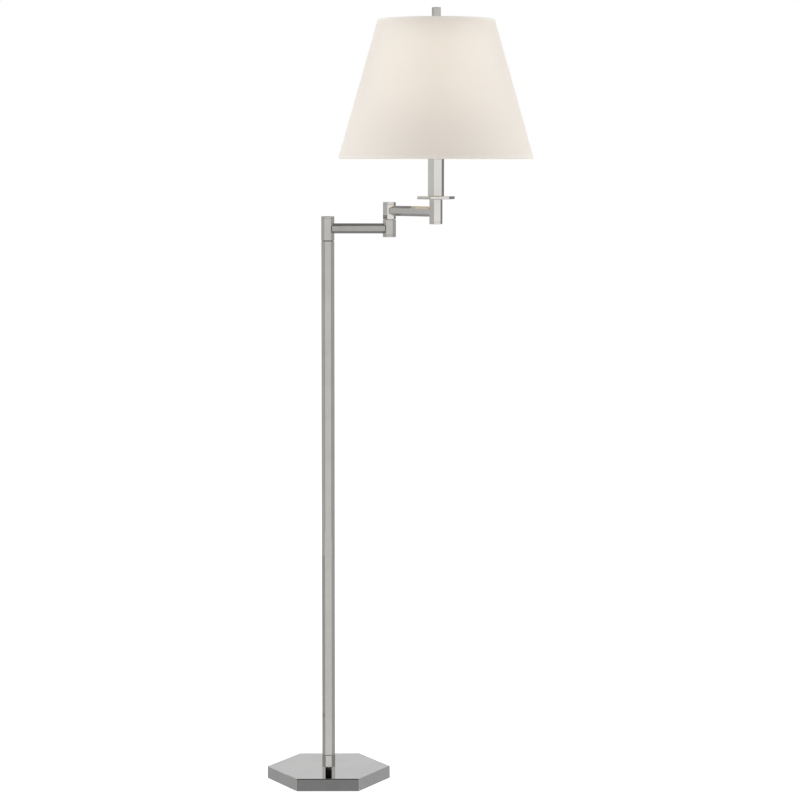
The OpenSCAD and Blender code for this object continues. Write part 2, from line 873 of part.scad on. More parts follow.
module holder_body() {
    color(BAKELITE) at_holder() difference() {
        translate([0, 0, body_z]) intersection() {
            cylinder(r = body_r, h = body_h);
            // The lower end narrows where the cap's bowl closes in
            translate([0, 0, -1]) cylinder(r1 = body_r - 4, r2 = body_r + 5, h = 9 + body_h);
        }
        shaft_hole(shaft_r + run, holder_d);
        for (side = [-1, 1]) translate([side * (body_r - 4), 0, body_z + 8])
            rotate([0, side * 90, 0]) cylinder(r = 1.5 + fit, h = 5);
        translate([0, 0, contact_z - 4]) cylinder(r = 1.5 + fit, h = 4 + past);
    }
}

module terminal_screws() {
    color(BRASS) at_holder() for (side = [-1, 1])
        translate([side * (body_r - 4), 0, body_z + 8]) rotate([0, side * 90, 0])
            cylinder(r = 1.5, h = 4);
}

module centre_contact() {
    color(BRASS) at_holder() {
        translate([0, 0, contact_z - 4]) cylinder(r = 1.5, h = 4.5);
        translate([0, 0, contact_z]) cylinder(r1 = 5, r2 = 3.5, h = contact_h);
    }
}

module screw_shell() {
    color(BRASS) at_holder() translate([0, 0, contact_z])
        ring(screw_d / 2 + 0.6, screw_d / 2 + 0.15, contact_h + base_taper + screw_h - 2);
}

// Fluted knob on its shaft, which turns about the -Y direction
module switch_knob() {
    knob_start = hub_r + bowl_r + 1;
    flutes = 12;
    color(BAKELITE) at_holder() translate([0, 0, knob_z]) rotate([90, 0, 0]) {
        translate([0, 0, 5]) cylinder(r = shaft_r, h = knob_start - 4);
        translate([0, 0, knob_start]) difference() {
            union() {
                cylinder(d = knob_d, h = knob_len - 1.5);
                translate([0, 0, knob_len - 1.5]) cylinder(d1 = knob_d, d2 = knob_d - 3, h = 1.5);
            }
            for (i = [0:flutes - 1]) rotate([0, 0, i * 360 / flutes])
                translate([knob_d / 2 + 0.5, 0, 2]) cylinder(r = 1.1, h = knob_len);
        }
    }
}

module bulb_base() {
    color(BRASS) at_holder() translate([0, 0, lamp_z]) {
        cylinder(r = 4.5, h = 1.5);
        translate([0, 0, 1]) cylinder(r1 = 6, r2 = screw_d / 2, h = base_taper - 1);
        translate([0, 0, base_taper]) cylinder(d = screw_d, h = screw_h);
    }
}

// Section of the glass, less t all round: a ball on a neck, joined by a tangent hollow curve
module glass_section(t) {
    ball_r = bulb_d / 2 - t;
    neck_r = screw_d / 2 - t;
    neck_z = glass_z + 6;
    rise = bulb_c_z - neck_z;
    hollow_r = (neck_r * neck_r + rise * rise - ball_r * ball_r) / (2 * (ball_r - neck_r));
    intersection() {
        union() {
            translate([0, bulb_c_z]) circle(ball_r);
            difference() {
                polygon([[0, neck_z], [neck_r + hollow_r, neck_z], [0, bulb_c_z]]);
                translate([neck_r + hollow_r, neck_z]) circle(hollow_r, $fn = 180);
            }
            translate([0, glass_z + t]) square([neck_r, neck_z - glass_z - t + 0.01]);
        }
        translate([0, glass_z]) square([bulb_d, 2 * bulb_len]);
    }
}

module bulb_glass() {
    color(GLASS) at_holder() rotate_extrude() difference() {
        glass_section(0);
        glass_section(1);
    }
}

// ---- Shade ----

// A rectangle of the section on the slope, from (u, v), turned into a cone about the head's axis
module cone_band(u, v, w, h) {
    at_head_square() rotate_extrude($fn = 180) translate(on_slope(u, v)) rotate(slope)
        square([w, h]);
}

module shade_cloth() {
    color(CLOTH) cone_band(-cloth_t, 0, cloth_t, slope_len);
}

module shade_lining() {
    color(CLOTH) cone_band(lining_u, 0, lining_t, slope_len);
}

module wire_ring(c) {
    translate([0, 0, c.y]) rotate_extrude($fn = 180) translate([c.x, 0]) circle(ring_r, $fn = 24);
}

module lower_ring() {
    color(STEEL) at_head_square() wire_ring(ring_low);
}

// The spider's arms run out level from its washer and turn up to the ring
module spider_arms(r) {
    reach = round(100 * (ring_top.x - arm_bend)) / 100;
    for (turn = [90, 210, 330]) rotate([0, 0, turn]) {
        translate([arm_in, 0, arm_z]) rotate([0, 90, 0]) cylinder(r = r, h = reach - arm_in);
        wire_arc([reach, arm_z + arm_bend], arm_bend, -90, 90, r);
        translate([reach + arm_bend, 0, arm_z + arm_bend])
            cylinder(r = r, h = ring_top.y - arm_z - arm_bend);
    }
}

module spider_frame() {
    washer_r = 11;
    color(STEEL) at_head_square() {
        wire_ring(ring_top);
        difference() {
            union() {
                spider_arms(ring_r - 0.1);
                translate([0, 0, arm_z - washer_t / 2]) cylinder(r = washer_r, h = washer_t);
            }
            translate([0, 0, arm_z - washer_t]) cylinder(r = stud_r + fit, h = 2 * washer_t);
        }
    }
}

// Tape folded over a rim, cloth, lining and ring; the upper one is notched for the spider
module shade_tapes() {
    top_v = slope_len - tape_w;
    color(CLOTH) {
        difference() {
            cone_band(pocket_u - tape_t, -film - tape_t, pocket_w + 2 * tape_t,
                tape_w + film + tape_t);
            cone_band(pocket_u, -film, pocket_w, tape_w + film + past);
        }
        difference() {
            cone_band(pocket_u - tape_t, top_v, pocket_w + 2 * tape_t, tape_w + film + tape_t);
            cone_band(pocket_u, top_v - past, pocket_w, tape_w + film + past);
            at_head_square() spider_arms(ring_r + room);
        }
    }
}

module finial() {
    foot_h = 2;
    foot_z = collar_top + washer_t;
    color(NICKEL) at_head_square() rotate([0, 0, finial_turn]) difference() {
        union() {
            translate([0, 0, foot_z]) cylinder(r = finial_af / 2 - 0.8, h = foot_h);
            translate([0, 0, foot_z + foot_h])
                bevelled_hex(finial_af, finial_h, bar_bevel, bar_bevel);
        }
        translate([0, 0, foot_z - past]) cylinder(r = stud_r + fit, h = 12.5 + past);
    }
}

base_felt();
base_weight();
base_cover();
cord_bushing();
base_nipple();
base_washer();
base_nut();
column_foot_plug();
column_tube();
column_head_plug();
shoulder_spindle();
shoulder_thrust_washer();
shoulder_friction_washer();
shoulder_spring_washer();
shoulder_nut();
shoulder_stop_pin();
column_lead();
shoulder_block();
shoulder_cap();
lower_arm_rod();
elbow_lower_block();
elbow_bottom_cap();
elbow_spindle();
elbow_nuts();
elbow_thrust_washer();
elbow_friction_washer();
elbow_spring_washer();
elbow_stop_pin();
lower_arm_lead();
elbow_upper_block();
elbow_top_cap();
upper_arm_rod();
head_block();
head_bottom_cap();
stem_nut();
stem_nipple();
drip_plate();
sleeve();
sleeve_cap();
upper_arm_lead();
harp_saddle();
harp();
harp_ferrule_left();
harp_ferrule_right();
holder_cap();
holder_shell();
holder_liner();
holder_body();
terminal_screws();
centre_contact();
screw_shell();
switch_knob();
bulb_base();
bulb_glass();
spider_frame();
lower_ring();
shade_lining();
shade_cloth();
shade_tapes();
finial();
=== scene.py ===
"""Bridge floor lamp: finishes, turned and sewn pieces, studio light and camera."""

import logging
import math
from dataclasses import dataclass
from enum import Enum
from typing import Callable, Iterable, Sequence

import bmesh
import bpy
from mathutils import Matrix, Vector


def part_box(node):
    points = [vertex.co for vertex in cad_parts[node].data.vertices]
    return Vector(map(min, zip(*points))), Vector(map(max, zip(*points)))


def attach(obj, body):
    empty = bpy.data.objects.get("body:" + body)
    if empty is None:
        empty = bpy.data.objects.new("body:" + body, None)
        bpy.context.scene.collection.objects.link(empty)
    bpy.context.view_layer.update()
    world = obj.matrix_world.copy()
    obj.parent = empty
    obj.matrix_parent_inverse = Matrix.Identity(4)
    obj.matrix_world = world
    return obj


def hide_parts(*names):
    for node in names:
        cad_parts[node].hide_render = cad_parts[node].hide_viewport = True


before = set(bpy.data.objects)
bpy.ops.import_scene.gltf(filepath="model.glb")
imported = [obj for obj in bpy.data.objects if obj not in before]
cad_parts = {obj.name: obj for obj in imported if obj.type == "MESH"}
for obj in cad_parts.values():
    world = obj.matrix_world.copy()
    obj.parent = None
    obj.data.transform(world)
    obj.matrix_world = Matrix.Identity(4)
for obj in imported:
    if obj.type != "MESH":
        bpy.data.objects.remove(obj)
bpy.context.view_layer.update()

MM = 0.001
LOG = logging.getLogger("bridge_floor_lamp")

MERGE = 1e-6
FLAT_ANGLE = math.radians(1.0)
EASED_ANGLE = math.radians(28.0)


# ---- Bench: mesh work by operators, as by hand -------------------------------------------


class Axis(Enum):
    """World axes by name."""

    X = Vector((1.0, 0.0, 0.0))
    Y = Vector((0.0, 1.0, 0.0))
    Z = Vector((0.0, 0.0, 1.0))


class Element(Enum):
    """What a selection in edit mode is made of."""

    VERTS = "VERT"
    FACES = "FACE"


class Bench:
    """Edit-mode work on one new object at a time."""

    @staticmethod
    def clear() -> None:
        """Leave edit mode and deselect everything."""
        if bpy.context.mode != "OBJECT":
            bpy.ops.object.mode_set(mode="OBJECT")
        bpy.ops.object.select_all(action="DESELECT")

    @staticmethod
    def hold(piece: bpy.types.Object) -> None:
        """Make one piece the active and only selected one."""
        Bench.clear()
        bpy.context.view_layer.objects.active = piece
        piece.select_set(True)

    @staticmethod
    def edit(piece: bpy.types.Object, element: Element = Element.VERTS) -> None:
        """Enter edit mode on one piece, with nothing selected in it.

        Args:
            piece: The object to work on.
            element: The kind of element that gets selected next.
        """
        Bench.hold(piece)
        bpy.ops.object.mode_set(mode="EDIT")
        bpy.ops.mesh.select_mode(type=element.value)
        bpy.ops.mesh.select_all(action="DESELECT")

    @staticmethod
    def done() -> None:
        """Leave edit mode."""
        bpy.ops.object.mode_set(mode="OBJECT")

    @staticmethod
    def named(name: str) -> bpy.types.Object:
        """Name the newest object and put its place into its mesh.

        Args:
            name: The name of the piece.

        Returns:
            The new object, at the origin, unturned and unscaled.
        """
        piece = bpy.context.active_object
        piece.name = name
        piece.data.name = name
        bpy.ops.object.transform_apply(location=True, rotation=True, scale=True)
        return piece

    @staticmethod
    def pick_verts(piece: bpy.types.Object, test: Callable[[Vector], bool]) -> None:
        """Select the vertices that pass a test, in edit mode.

        Args:
            piece: The object in edit mode.
            test: Takes a vertex's place.
        """
        work = bmesh.from_edit_mesh(piece.data)
        for vert in work.verts:
            vert.select_set(test(vert.co))
        work.select_flush_mode()
        bmesh.update_edit_mesh(piece.data)

    @staticmethod
    def pick_faces(piece: bpy.types.Object, test: Callable[[Vector, Vector], bool]) -> None:
        """Select the faces that pass a test, in edit mode.

        Args:
            piece: The object in edit mode.
            test: Takes a face's middle and its normal.
        """
        work = bmesh.from_edit_mesh(piece.data)
        work.normal_update()
        for face in work.faces:
            face.select_set(test(face.calc_center_median(), face.normal))
        bmesh.update_edit_mesh(piece.data)

    @staticmethod
    def trace(name: str, points: Sequence[Vector], closed: bool = False) -> bpy.types.Object:
        """Trace an outline: one vertex is extruded from point to point.

        Args:
            name: The name of the new piece.
            points: The corners of the outline.
            closed: Whether the last corner is joined to the first.

        Returns:
            The new object, in edit mode, with the whole outline selected.
        """
        Bench.clear()
        bpy.ops.mesh.primitive_plane_add(size=MM, location=points[0])
        piece = Bench.named(name)
        bpy.ops.object.mode_set(mode="EDIT")
        bpy.ops.mesh.select_mode(type="VERT")
        bpy.ops.mesh.select_all(action="SELECT")
        bpy.ops.mesh.merge(type="CENTER")
        for last, point in zip(points, points[1:]):
            bpy.ops.mesh.extrude_vertices_move(
                TRANSFORM_OT_translate={"value": tuple(Vector(point) - Vector(last))}
            )
        bpy.ops.mesh.select_all(action="SELECT")
        if closed:
            Bench.pick_verts(
                piece,
                lambda co: (co - Vector(points[0])).length < 1e-7
                or (co - Vector(points[-1])).length < 1e-7,
            )
            bpy.ops.mesh.edge_face_add()
            bpy.ops.mesh.select_all(action="SELECT")
        return piece

    @staticmethod
    def revolve(
        name: str,
        section: Sequence[tuple[float, float]],
        centre: Vector,
        steps: int = 64,
        axis: Vector = Axis.Z.value,
        closed: bool = False,
    ) -> bpy.types.Object:
        """Turn a half section about an axis, as on a lathe.

        Args:
            name: The name of the new piece.
            section: (radius, height along the axis) of each corner, in metres.
            centre: The point on the axis that heights count from.
            steps: Facets in a full turn.
            axis: The axis, as a unit vector.
            closed: Whether the section is a ring of corners that misses the axis.

        Returns:
            The turned piece, in object mode, smooth apart from its sharp corners.
        """
        out = axis.orthogonal().normalized()
        points = [centre + out * radius + axis * height for radius, height in section]
        piece = Bench.trace(name, points, closed)
        bpy.ops.mesh.spin(steps=steps, angle=math.tau, center=centre, axis=axis, use_auto_merge=True)
        bpy.ops.mesh.select_all(action="SELECT")
        bpy.ops.mesh.remove_doubles(threshold=2e-6)
        bpy.ops.mesh.normals_make_consistent(inside=False)
        Bench.done()
        Bench.smooth(piece)
        return piece

    @staticmethod
    def smooth(piece: bpy.types.Object, angle: float = 32.0) -> None:
        """Shade a piece smooth, apart from edges sharper than an angle in degrees."""
        Bench.hold(piece)
        bpy.ops.object.shade_smooth_by_angle(angle=math.radians(angle))

    @staticmethod
    def apply(piece: bpy.types.Object, kind: str, **settings: object) -> None:
        """Add a modifier, set it up and apply it.

        Args:
            piece: The object that gets it.
            kind: The modifier's type.
            settings: Values of the modifier's own properties.
        """
        Bench.hold(piece)
        modifier = piece.modifiers.new(kind.lower(), kind)
        for key, value in settings.items():
            setattr(modifier, key, value)
        bpy.ops.object.modifier_apply(modifier=modifier.name)

    @staticmethod
    def join(pieces: Sequence[bpy.types.Object], name: str) -> bpy.types.Object:
        """Join pieces into one object.

        Args:
            pieces: The objects, of which the first one stays.
            name: The name of the joined piece.

        Returns:
            The joined object.
        """
        Bench.clear()
        for piece in pieces:
            piece.select_set(True)
        bpy.context.view_layer.objects.active = pieces[0]
        bpy.ops.object.join()
        pieces[0].name = name
        pieces[0].data.name = name
        return pieces[0]

    @staticmethod
    def turned_copy(
        piece: bpy.types.Object, name: str, degrees: float, centre: Vector
    ) -> bpy.types.Object:
        """Copy a piece with its own mesh and turn the copy about an upright axis.

        Args:
            piece: The object to copy.
            name: The name of the copy.
            degrees: The turn.
            centre: A point on the axis.

        Returns:
            The copy.
        """
        copy = piece.copy()
        copy.data = piece.data.copy()
        copy.name = name
        bpy.context.scene.collection.objects.link(copy)
        turn = Matrix.Rotation(math.radians(degrees), 4, "Z")
        copy.data.transform(Matrix.Translation(centre) @ turn @ Matrix.Translation(-centre))
        return copy


# ---- Node groups that more than one finish uses ------------------------------------------


class Sockets(Enum):
    """Kinds of socket that the groups have."""

    VALUE = "NodeSocketFloat"
    VECTOR = "NodeSocketVector"


class Wiring:
    """Adds and joins nodes in one tree."""

    def __init__(self, tree: bpy.types.NodeTree) -> None:
        """Start on a node tree."""
        self.tree = tree

    def node(self, kind: str, settings: dict[str, object] | None = None,
             **inputs: object) -> bpy.types.Node:
        """Add a node.

        Args:
            kind: The node's type, without the ShaderNode prefix.
            settings: Values of the node's own properties.
            inputs: A socket or a constant for each input, by name with _ for a space,
                or by number as i0, i1 and so on.

        Returns:
            The new node.
        """
        made = self.tree.nodes.new("ShaderNode" + kind)
        for key, value in (settings or {}).items():
            setattr(made, key, value)
        for key, value in inputs.items():
            if key[0] == "i" and key[1:].isdigit():
                socket = made.inputs[int(key[1:])]
            else:
                socket = made.inputs[key.replace("_", " ")]
            if isinstance(value, bpy.types.NodeSocket):
                self.tree.links.new(value, socket)
            else:
                socket.default_value = value
        return made

    def math(self, operation: str, first: object, second: object = 0.0,
             third: object = 0.0, clamp: bool = False) -> bpy.types.NodeSocket:
        """Add a math node and return its value."""
        made = self.node("Math", {"operation": operation, "use_clamp": clamp},
                         i0=first, i1=second, i2=third)
        return made.outputs[0]

    def mix(self, factor: object, first: object, second: object,
            blend: str = "MIX") -> bpy.types.NodeSocket:
        """Mix two colours.

        Args:
            factor: How much of the second colour shows.
            first: A colour or a socket.
            second: A colour or a socket.
            blend: The way they are mixed.

        Returns:
            The mixed colour.
        """
        made = self.node("Mix", {"data_type": "RGBA", "blend_type": blend},
                         i0=factor, i6=first, i7=second)
        return made.outputs[2]

    def spread(self, value: object, low: float, high: float, to_low: float = 0.0,
               to_high: float = 1.0) -> bpy.types.NodeSocket:
        """Map a value's range onto another, held at its ends.

        Args:
            value: The socket to map.
            low: The value that becomes to_low.
            high: The value that becomes to_high.
            to_low: The lowest result.
            to_high: The highest result.

        Returns:
            The mapped value.
        """
        made = self.node("MapRange", {"clamp": True}, Value=value, From_Min=low,
                         From_Max=high, To_Min=to_low, To_Max=to_high)
        return made.outputs[0]

    def noise(self, where: object, scale: float, detail: float = 3.0,
              roughness: float = 0.55) -> bpy.types.NodeSocket:
        """Add a noise texture and return its value."""
        made = self.node("TexNoise", Vector=where, Scale=scale, Detail=detail,
                         Roughness=roughness)
        return made.outputs[0]


class GroupBook:
    """Builds each shared node group once, and hands it out by name."""

    made: dict[str, bpy.types.NodeTree] = {}

    @classmethod
    def get(cls, name: str) -> bpy.types.NodeTree:
        """Fetch a group, and build it the first time.

        Args:
            name: One of the group names below.

        Returns:
            The node group.
        """
        if name not in cls.made:
            cls.made[name] = getattr(cls, "_" + name)(name)
        return cls.made[name]

    @staticmethod
    def _start(name: str, inputs: Iterable[tuple[str, Sockets, float]],
               outputs: Iterable[tuple[str, Sockets]]
               ) -> tuple[bpy.types.NodeTree, Wiring, bpy.types.Node, bpy.types.Node]:
        """Start a group with its sockets.

        Args:
            name: The group's name.
            inputs: (name, kind, default) of each input.
            outputs: (name, kind) of each output.

        Returns:
            The group, its wiring, its input node and its output node.
        """
        tree = bpy.data.node_groups.new(name, "ShaderNodeTree")
        for label, kind, default in inputs:
            socket = tree.interface.new_socket(label, in_out="INPUT", socket_type=kind.value)
            if kind is Sockets.VALUE:
                socket.default_value = default
        for label, kind in outputs:
            tree.interface.new_socket(label, in_out="OUTPUT", socket_type=kind.value)
        return (tree, Wiring(tree), tree.nodes.new("NodeGroupInput"),
                tree.nodes.new("NodeGroupOutput"))

    @classmethod
    def _handling(cls, name: str) -> bpy.types.NodeTree:
        """Soft smudges from hands and polishing cloths, as a mask."""
        tree, wire, enter, leave = cls._start(
            name,
            [("Vector", Sockets.VECTOR, 0.0), ("Size", Sockets.VALUE, 0.06)],
            [("Mask", Sockets.VALUE)],
        )
        scale = wire.math("DIVIDE", 1.0, enter.outputs["Size"])
        where = wire.node("VectorMath", {"operation": "SCALE"}, i0=enter.outputs["Vector"],
                          Scale=scale).outputs[0]
        broad = wire.noise(where, 1.0, 2.0)
        fine = wire.noise(where, 5.5, 4.0, 0.62)
        both = wire.math("MULTIPLY_ADD", fine, 0.45, broad)
        tree.links.new(wire.spread(both, 0.62, 0.92), leave.inputs["Mask"])
        return tree

    @classmethod
    def _hairlines(cls, name: str) -> bpy.types.NodeTree:
        """Hair-thin scratches that cross each other, as a mask."""
        tree, wire, enter, leave = cls._start(
            name,
            [("Vector", Sockets.VECTOR, 0.0), ("Density", Sockets.VALUE, 90.0)],
            [("Mask", Sockets.VALUE)],
        )
        total: object = 0.0
        for turn, stretch in ((0.35, 60.0), (1.9, 46.0)):
            turned = wire.node("Mapping", Vector=enter.outputs["Vector"],
                               Rotation=(turn, turn * 0.7, turn * 1.3),
                               Scale=(1.0, stretch, stretch))
            scaled = wire.node("VectorMath", {"operation": "SCALE"}, i0=turned.outputs[0],
                               Scale=enter.outputs["Density"])
            streak = wire.noise(scaled.outputs[0], 0.35, 1.0)
            line = wire.spread(streak, 0.69, 0.73)
            total = wire.math("MAXIMUM", line, total)
        tree.links.new(total, leave.inputs["Mask"])
        return tree

    @classmethod
    def _worn_edges(cls, name: str) -> bpy.types.NodeTree:
        """Where the surface turns a corner, broken up by a fine noise, as a mask."""
        tree, wire, enter, leave = cls._start(
            name,
            [("Vector", Sockets.VECTOR, 0.0)],
            [("Mask", Sockets.VALUE)],
        )
        eased = wire.node("Bevel", {"samples": 4}, Radius=0.0007)
        flat = wire.node("NewGeometry")
        dot = wire.node("VectorMath", {"operation": "DOT_PRODUCT"}, i0=eased.outputs[0],
                        i1=flat.outputs["True Normal"])
        turn = wire.math("SUBTRACT", 1.0, dot.outputs["Value"])
        broken = wire.spread(wire.noise(enter.outputs["Vector"], 420.0, 3.0), 0.3, 0.7, 0.35, 1.0)
        mask = wire.math("MULTIPLY", wire.spread(turn, 0.01, 0.10), broken)
        tree.links.new(mask, leave.inputs["Mask"])
        return tree

    @classmethod
    def _dust(cls, name: str) -> bpy.types.NodeTree:
        """A thin, uneven film of dust on what faces up, as a mask."""
        tree, wire, enter, leave = cls._start(
            name,
            [("Vector", Sockets.VECTOR, 0.0), ("Amount", Sockets.VALUE, 0.3)],
            [("Mask", Sockets.VALUE)],
        )
        normal = wire.node("NewGeometry").outputs["Normal"]
        up = wire.node("SeparateXYZ", i0=normal).outputs[2]
        film = wire.spread(wire.noise(enter.outputs["Vector"], 70.0, 5.0, 0.65), 0.35, 0.75)
        specks = wire.spread(wire.noise(enter.outputs["Vector"], 1400.0, 1.0), 0.66, 0.74)
        both = wire.math("MULTIPLY_ADD", specks, 0.6, film)
        faced = wire.math("MULTIPLY", both, wire.spread(up, 0.35, 0.95))
        tree.links.new(wire.math("MULTIPLY", faced, enter.outputs["Amount"], clamp=True),
                       leave.inputs["Mask"])
        return tree

    @classmethod
    def _weave(cls, name: str) -> bpy.types.NodeTree:
        """Plain weave on a UV map in metres, with slubs: a height and a thread shade."""
        tree, wire, enter, leave = cls._start(
            name,
            [("Vector", Sockets.VECTOR, 0.0), ("Pitch", Sockets.VALUE, 0.00055)],
            [("Height", Sockets.VALUE), ("Shade", Sockets.VALUE)],
        )
        wander = wire.noise(enter.outputs["Vector"], 130.0, 2.0)
        parts = wire.node("SeparateXYZ", i0=enter.outputs["Vector"])
        turns = []
        for number in (0, 1):
            shifted = wire.math("MULTIPLY_ADD", wander, 0.0009, parts.outputs[number])
            turns.append(wire.math("DIVIDE", shifted, enter.outputs["Pitch"]))
        over = [wire.math("ABSOLUTE", wire.math("SINE", wire.math("MULTIPLY", t, math.pi)))
                for t in turns]
        cells = [wire.math("FLOOR", t) for t in turns]
        parity = wire.math("PINGPONG", wire.math("ADD", cells[0], cells[1]), 1.0)
        height = wire.math("ADD",
                           wire.math("MULTIPLY", over[0], parity),
                           wire.math("MULTIPLY", over[1], wire.math("SUBTRACT", 1.0, parity)))
        slubs: object = 0.0
        for number, stretch in ((0, (1.0, 60.0, 1.0)), (1, (60.0, 1.0, 1.0))):
            along = wire.node("Mapping", Vector=enter.outputs["Vector"], Scale=stretch)
            streak = wire.noise(along.outputs[0], 26.0 if number else 30.0, 2.0)
            slubs = wire.math("ADD", slubs, wire.spread(streak, 0.56, 0.70))
        tree.links.new(wire.math("MULTIPLY_ADD", slubs, 0.6, height), leave.inputs["Height"])
        tree.links.new(wire.math("MULTIPLY", slubs, 0.5, clamp=True), leave.inputs["Shade"])
        return tree

    @classmethod
    def _thread(cls, name: str) -> bpy.types.NodeTree:
        """A helical thread about an upright axis through the vector's origin, as a height."""
        tree, wire, enter, leave = cls._start(
            name,
            [("Vector", Sockets.VECTOR, 0.0), ("Pitch", Sockets.VALUE, 0.001)],
            [("Height", Sockets.VALUE)],
        )
        parts = wire.node("SeparateXYZ", i0=enter.outputs["Vector"])
        angle = wire.math("ARCTAN2", parts.outputs[1], parts.outputs[0])
        lead = wire.math("DIVIDE", angle, math.tau)
        turns = wire.math("ADD", wire.math("DIVIDE", parts.outputs[2], enter.outputs["Pitch"]),
                          lead)
        tree.links.new(wire.math("PINGPONG", turns, 0.5), leave.inputs["Height"])
        return tree


# ---- Finishes ----------------------------------------------------------------------------

Colour = tuple[float, float, float]


@dataclass(frozen=True)
class Finish:
    """A procedural material: its name, its colour and how rough it is."""

    name: str
    slot: str
    colour: Colour
    roughness: float
    origin: tuple[float, float, float] = (0.0, 0.0, 0.0)

    def material(self) -> bpy.types.Material:
        """Build the material the first time it is asked for.

        Returns:
            The material of this finish.
        """
        found = bpy.data.materials.get(self.name)
        if found is not None:
            return found
        made = bpy.data.materials.new(self.name)
        made.use_nodes = True
        made.diffuse_color = (*self.colour, 1.0)
        wire = Wiring(made.node_tree)
        shader = made.node_tree.nodes["Principled BSDF"]
        shader.inputs["Base Color"].default_value = (*self.colour, 1.0)
        shader.inputs["Roughness"].default_value = self.roughness
        where = wire.node("TexCoord").outputs["Object"]
        if self.origin != (0.0, 0.0, 0.0):
            shift = tuple(-c for c in self.origin)
            where = wire.node("Mapping", Vector=where, Location=shift).outputs[0]
        self.detail(wire, shader, where)
        return made

    def detail(self, wire: Wiring, shader: bpy.types.Node, where: bpy.types.NodeSocket) -> None:
        """Wire what changes over the surface; each finish has its own."""
        raise NotImplementedError

    def _group(self, wire: Wiring, name: str, **inputs: object) -> bpy.types.Node:
        """Place a shared group with its values."""
        return wire.node("Group", {"node_tree": GroupBook.get(name)}, **inputs)

    def _tone(self, factor: float = 1.0) -> tuple[float, float, float, float]:
        """The finish's own colour, made lighter or darker."""
        return (*[min(1.0, c * factor) for c in self.colour], 1.0)

    def _bump(self, wire: Wiring, shader: bpy.types.Node, height: object,
              depth: float, strength: float = 1.0) -> None:
        """Drive the shader's normal from a height.

        Args:
            wire: The material's wiring.
            shader: The Principled shader.
            height: A socket from 0 to about 1.
            depth: Metres that a height of 1 stands for.
            strength: The share of the bump that shows.
        """
        bump = wire.node("Bump", Height=height, Distance=depth, Strength=strength)
        wire.tree.links.new(bump.outputs[0], shader.inputs["Normal"])


@dataclass(frozen=True)
class PolishedNickel(Finish):
    """Mirror-polished nickel plate with smudges, hairlines, eased edges and a little dust."""

    smudge: float = 0.035
    scratch: float = 0.06

    def detail(self, wire: Wiring, shader: bpy.types.Node, where: bpy.types.NodeSocket) -> None:
        """Wire the plate's small changes of gloss and tone."""
        shader.inputs["Metallic"].default_value = 1.0
        hands = self._group(wire, "handling", Vector=where, Size=0.055).outputs["Mask"]
        lines = self._group(wire, "hairlines", Vector=where, Density=320.0).outputs["Mask"]
        worn = self._group(wire, "worn_edges", Vector=where).outputs["Mask"]
        dust = self._group(wire, "dust", Vector=where, Amount=0.03).outputs["Mask"]
        rough = wire.math("MULTIPLY_ADD", hands, self.smudge, self.roughness)
        rough = wire.math("MULTIPLY_ADD", lines, self.scratch, rough)
        rough = wire.math("MULTIPLY_ADD", dust, 0.3, rough)
        wire.tree.links.new(rough, shader.inputs["Roughness"])
        clean = self._tone()
        bright = self._tone(1.1)
        dull = self._tone(0.93)
        tone = wire.mix(hands, clean, dull)
        tone = wire.mix(worn, tone, bright)
        tone = wire.mix(dust, tone, (0.55, 0.53, 0.50, 1.0))
        wire.tree.links.new(tone, shader.inputs["Base Color"])
        wave = wire.noise(where, 26.0, 0.0)
        height = wire.math("MULTIPLY_ADD", lines, -0.02, wave)
        self._bump(wire, shader, height, 0.00001)


@dataclass(frozen=True)
class MachinedMetal(Finish):
    """Plain steel or brass as it comes from the machine, with tarnish and fine marks."""

    tarnish: Colour = (0.3, 0.25, 0.2)
    pitch: float = 0.0
    grain: float = 900.0

    def detail(self, wire: Wiring, shader: bpy.types.Node, where: bpy.types.NodeSocket) -> None:
        """Wire the tarnish, the machining grain and the thread, if there is one."""
        shader.inputs["Metallic"].default_value = 1.0
        stain = self._group(wire, "handling", Vector=where, Size=0.012).outputs["Mask"]
        lines = self._group(wire, "hairlines", Vector=where, Density=500.0).outputs["Mask"]
        fine = wire.noise(where, self.grain, 3.0)
        worn = self._group(wire, "worn_edges", Vector=where).outputs["Mask"]
        rough = wire.math("MULTIPLY_ADD", stain, 0.16, self.roughness)
        rough = wire.math("MULTIPLY_ADD", fine, 0.10, rough)
        wire.tree.links.new(rough, shader.inputs["Roughness"])
        tone = wire.mix(wire.math("MULTIPLY", stain, 0.55), self._tone(),
                        (*self.tarnish, 1.0))
        tone = wire.mix(wire.math("MULTIPLY", worn, 0.5), tone,
                        self._tone(1.3))
        wire.tree.links.new(tone, shader.inputs["Base Color"])
        height = wire.math("MULTIPLY_ADD", lines, -0.25, wire.math("MULTIPLY", fine, 0.2))
        if self.pitch > 0:
            helix = self._group(wire, "thread", Vector=where, Pitch=self.pitch)
            height = wire.math("MULTIPLY_ADD", helix.outputs["Height"], 8.0, height)
        self._bump(wire, shader, height, 0.00006)


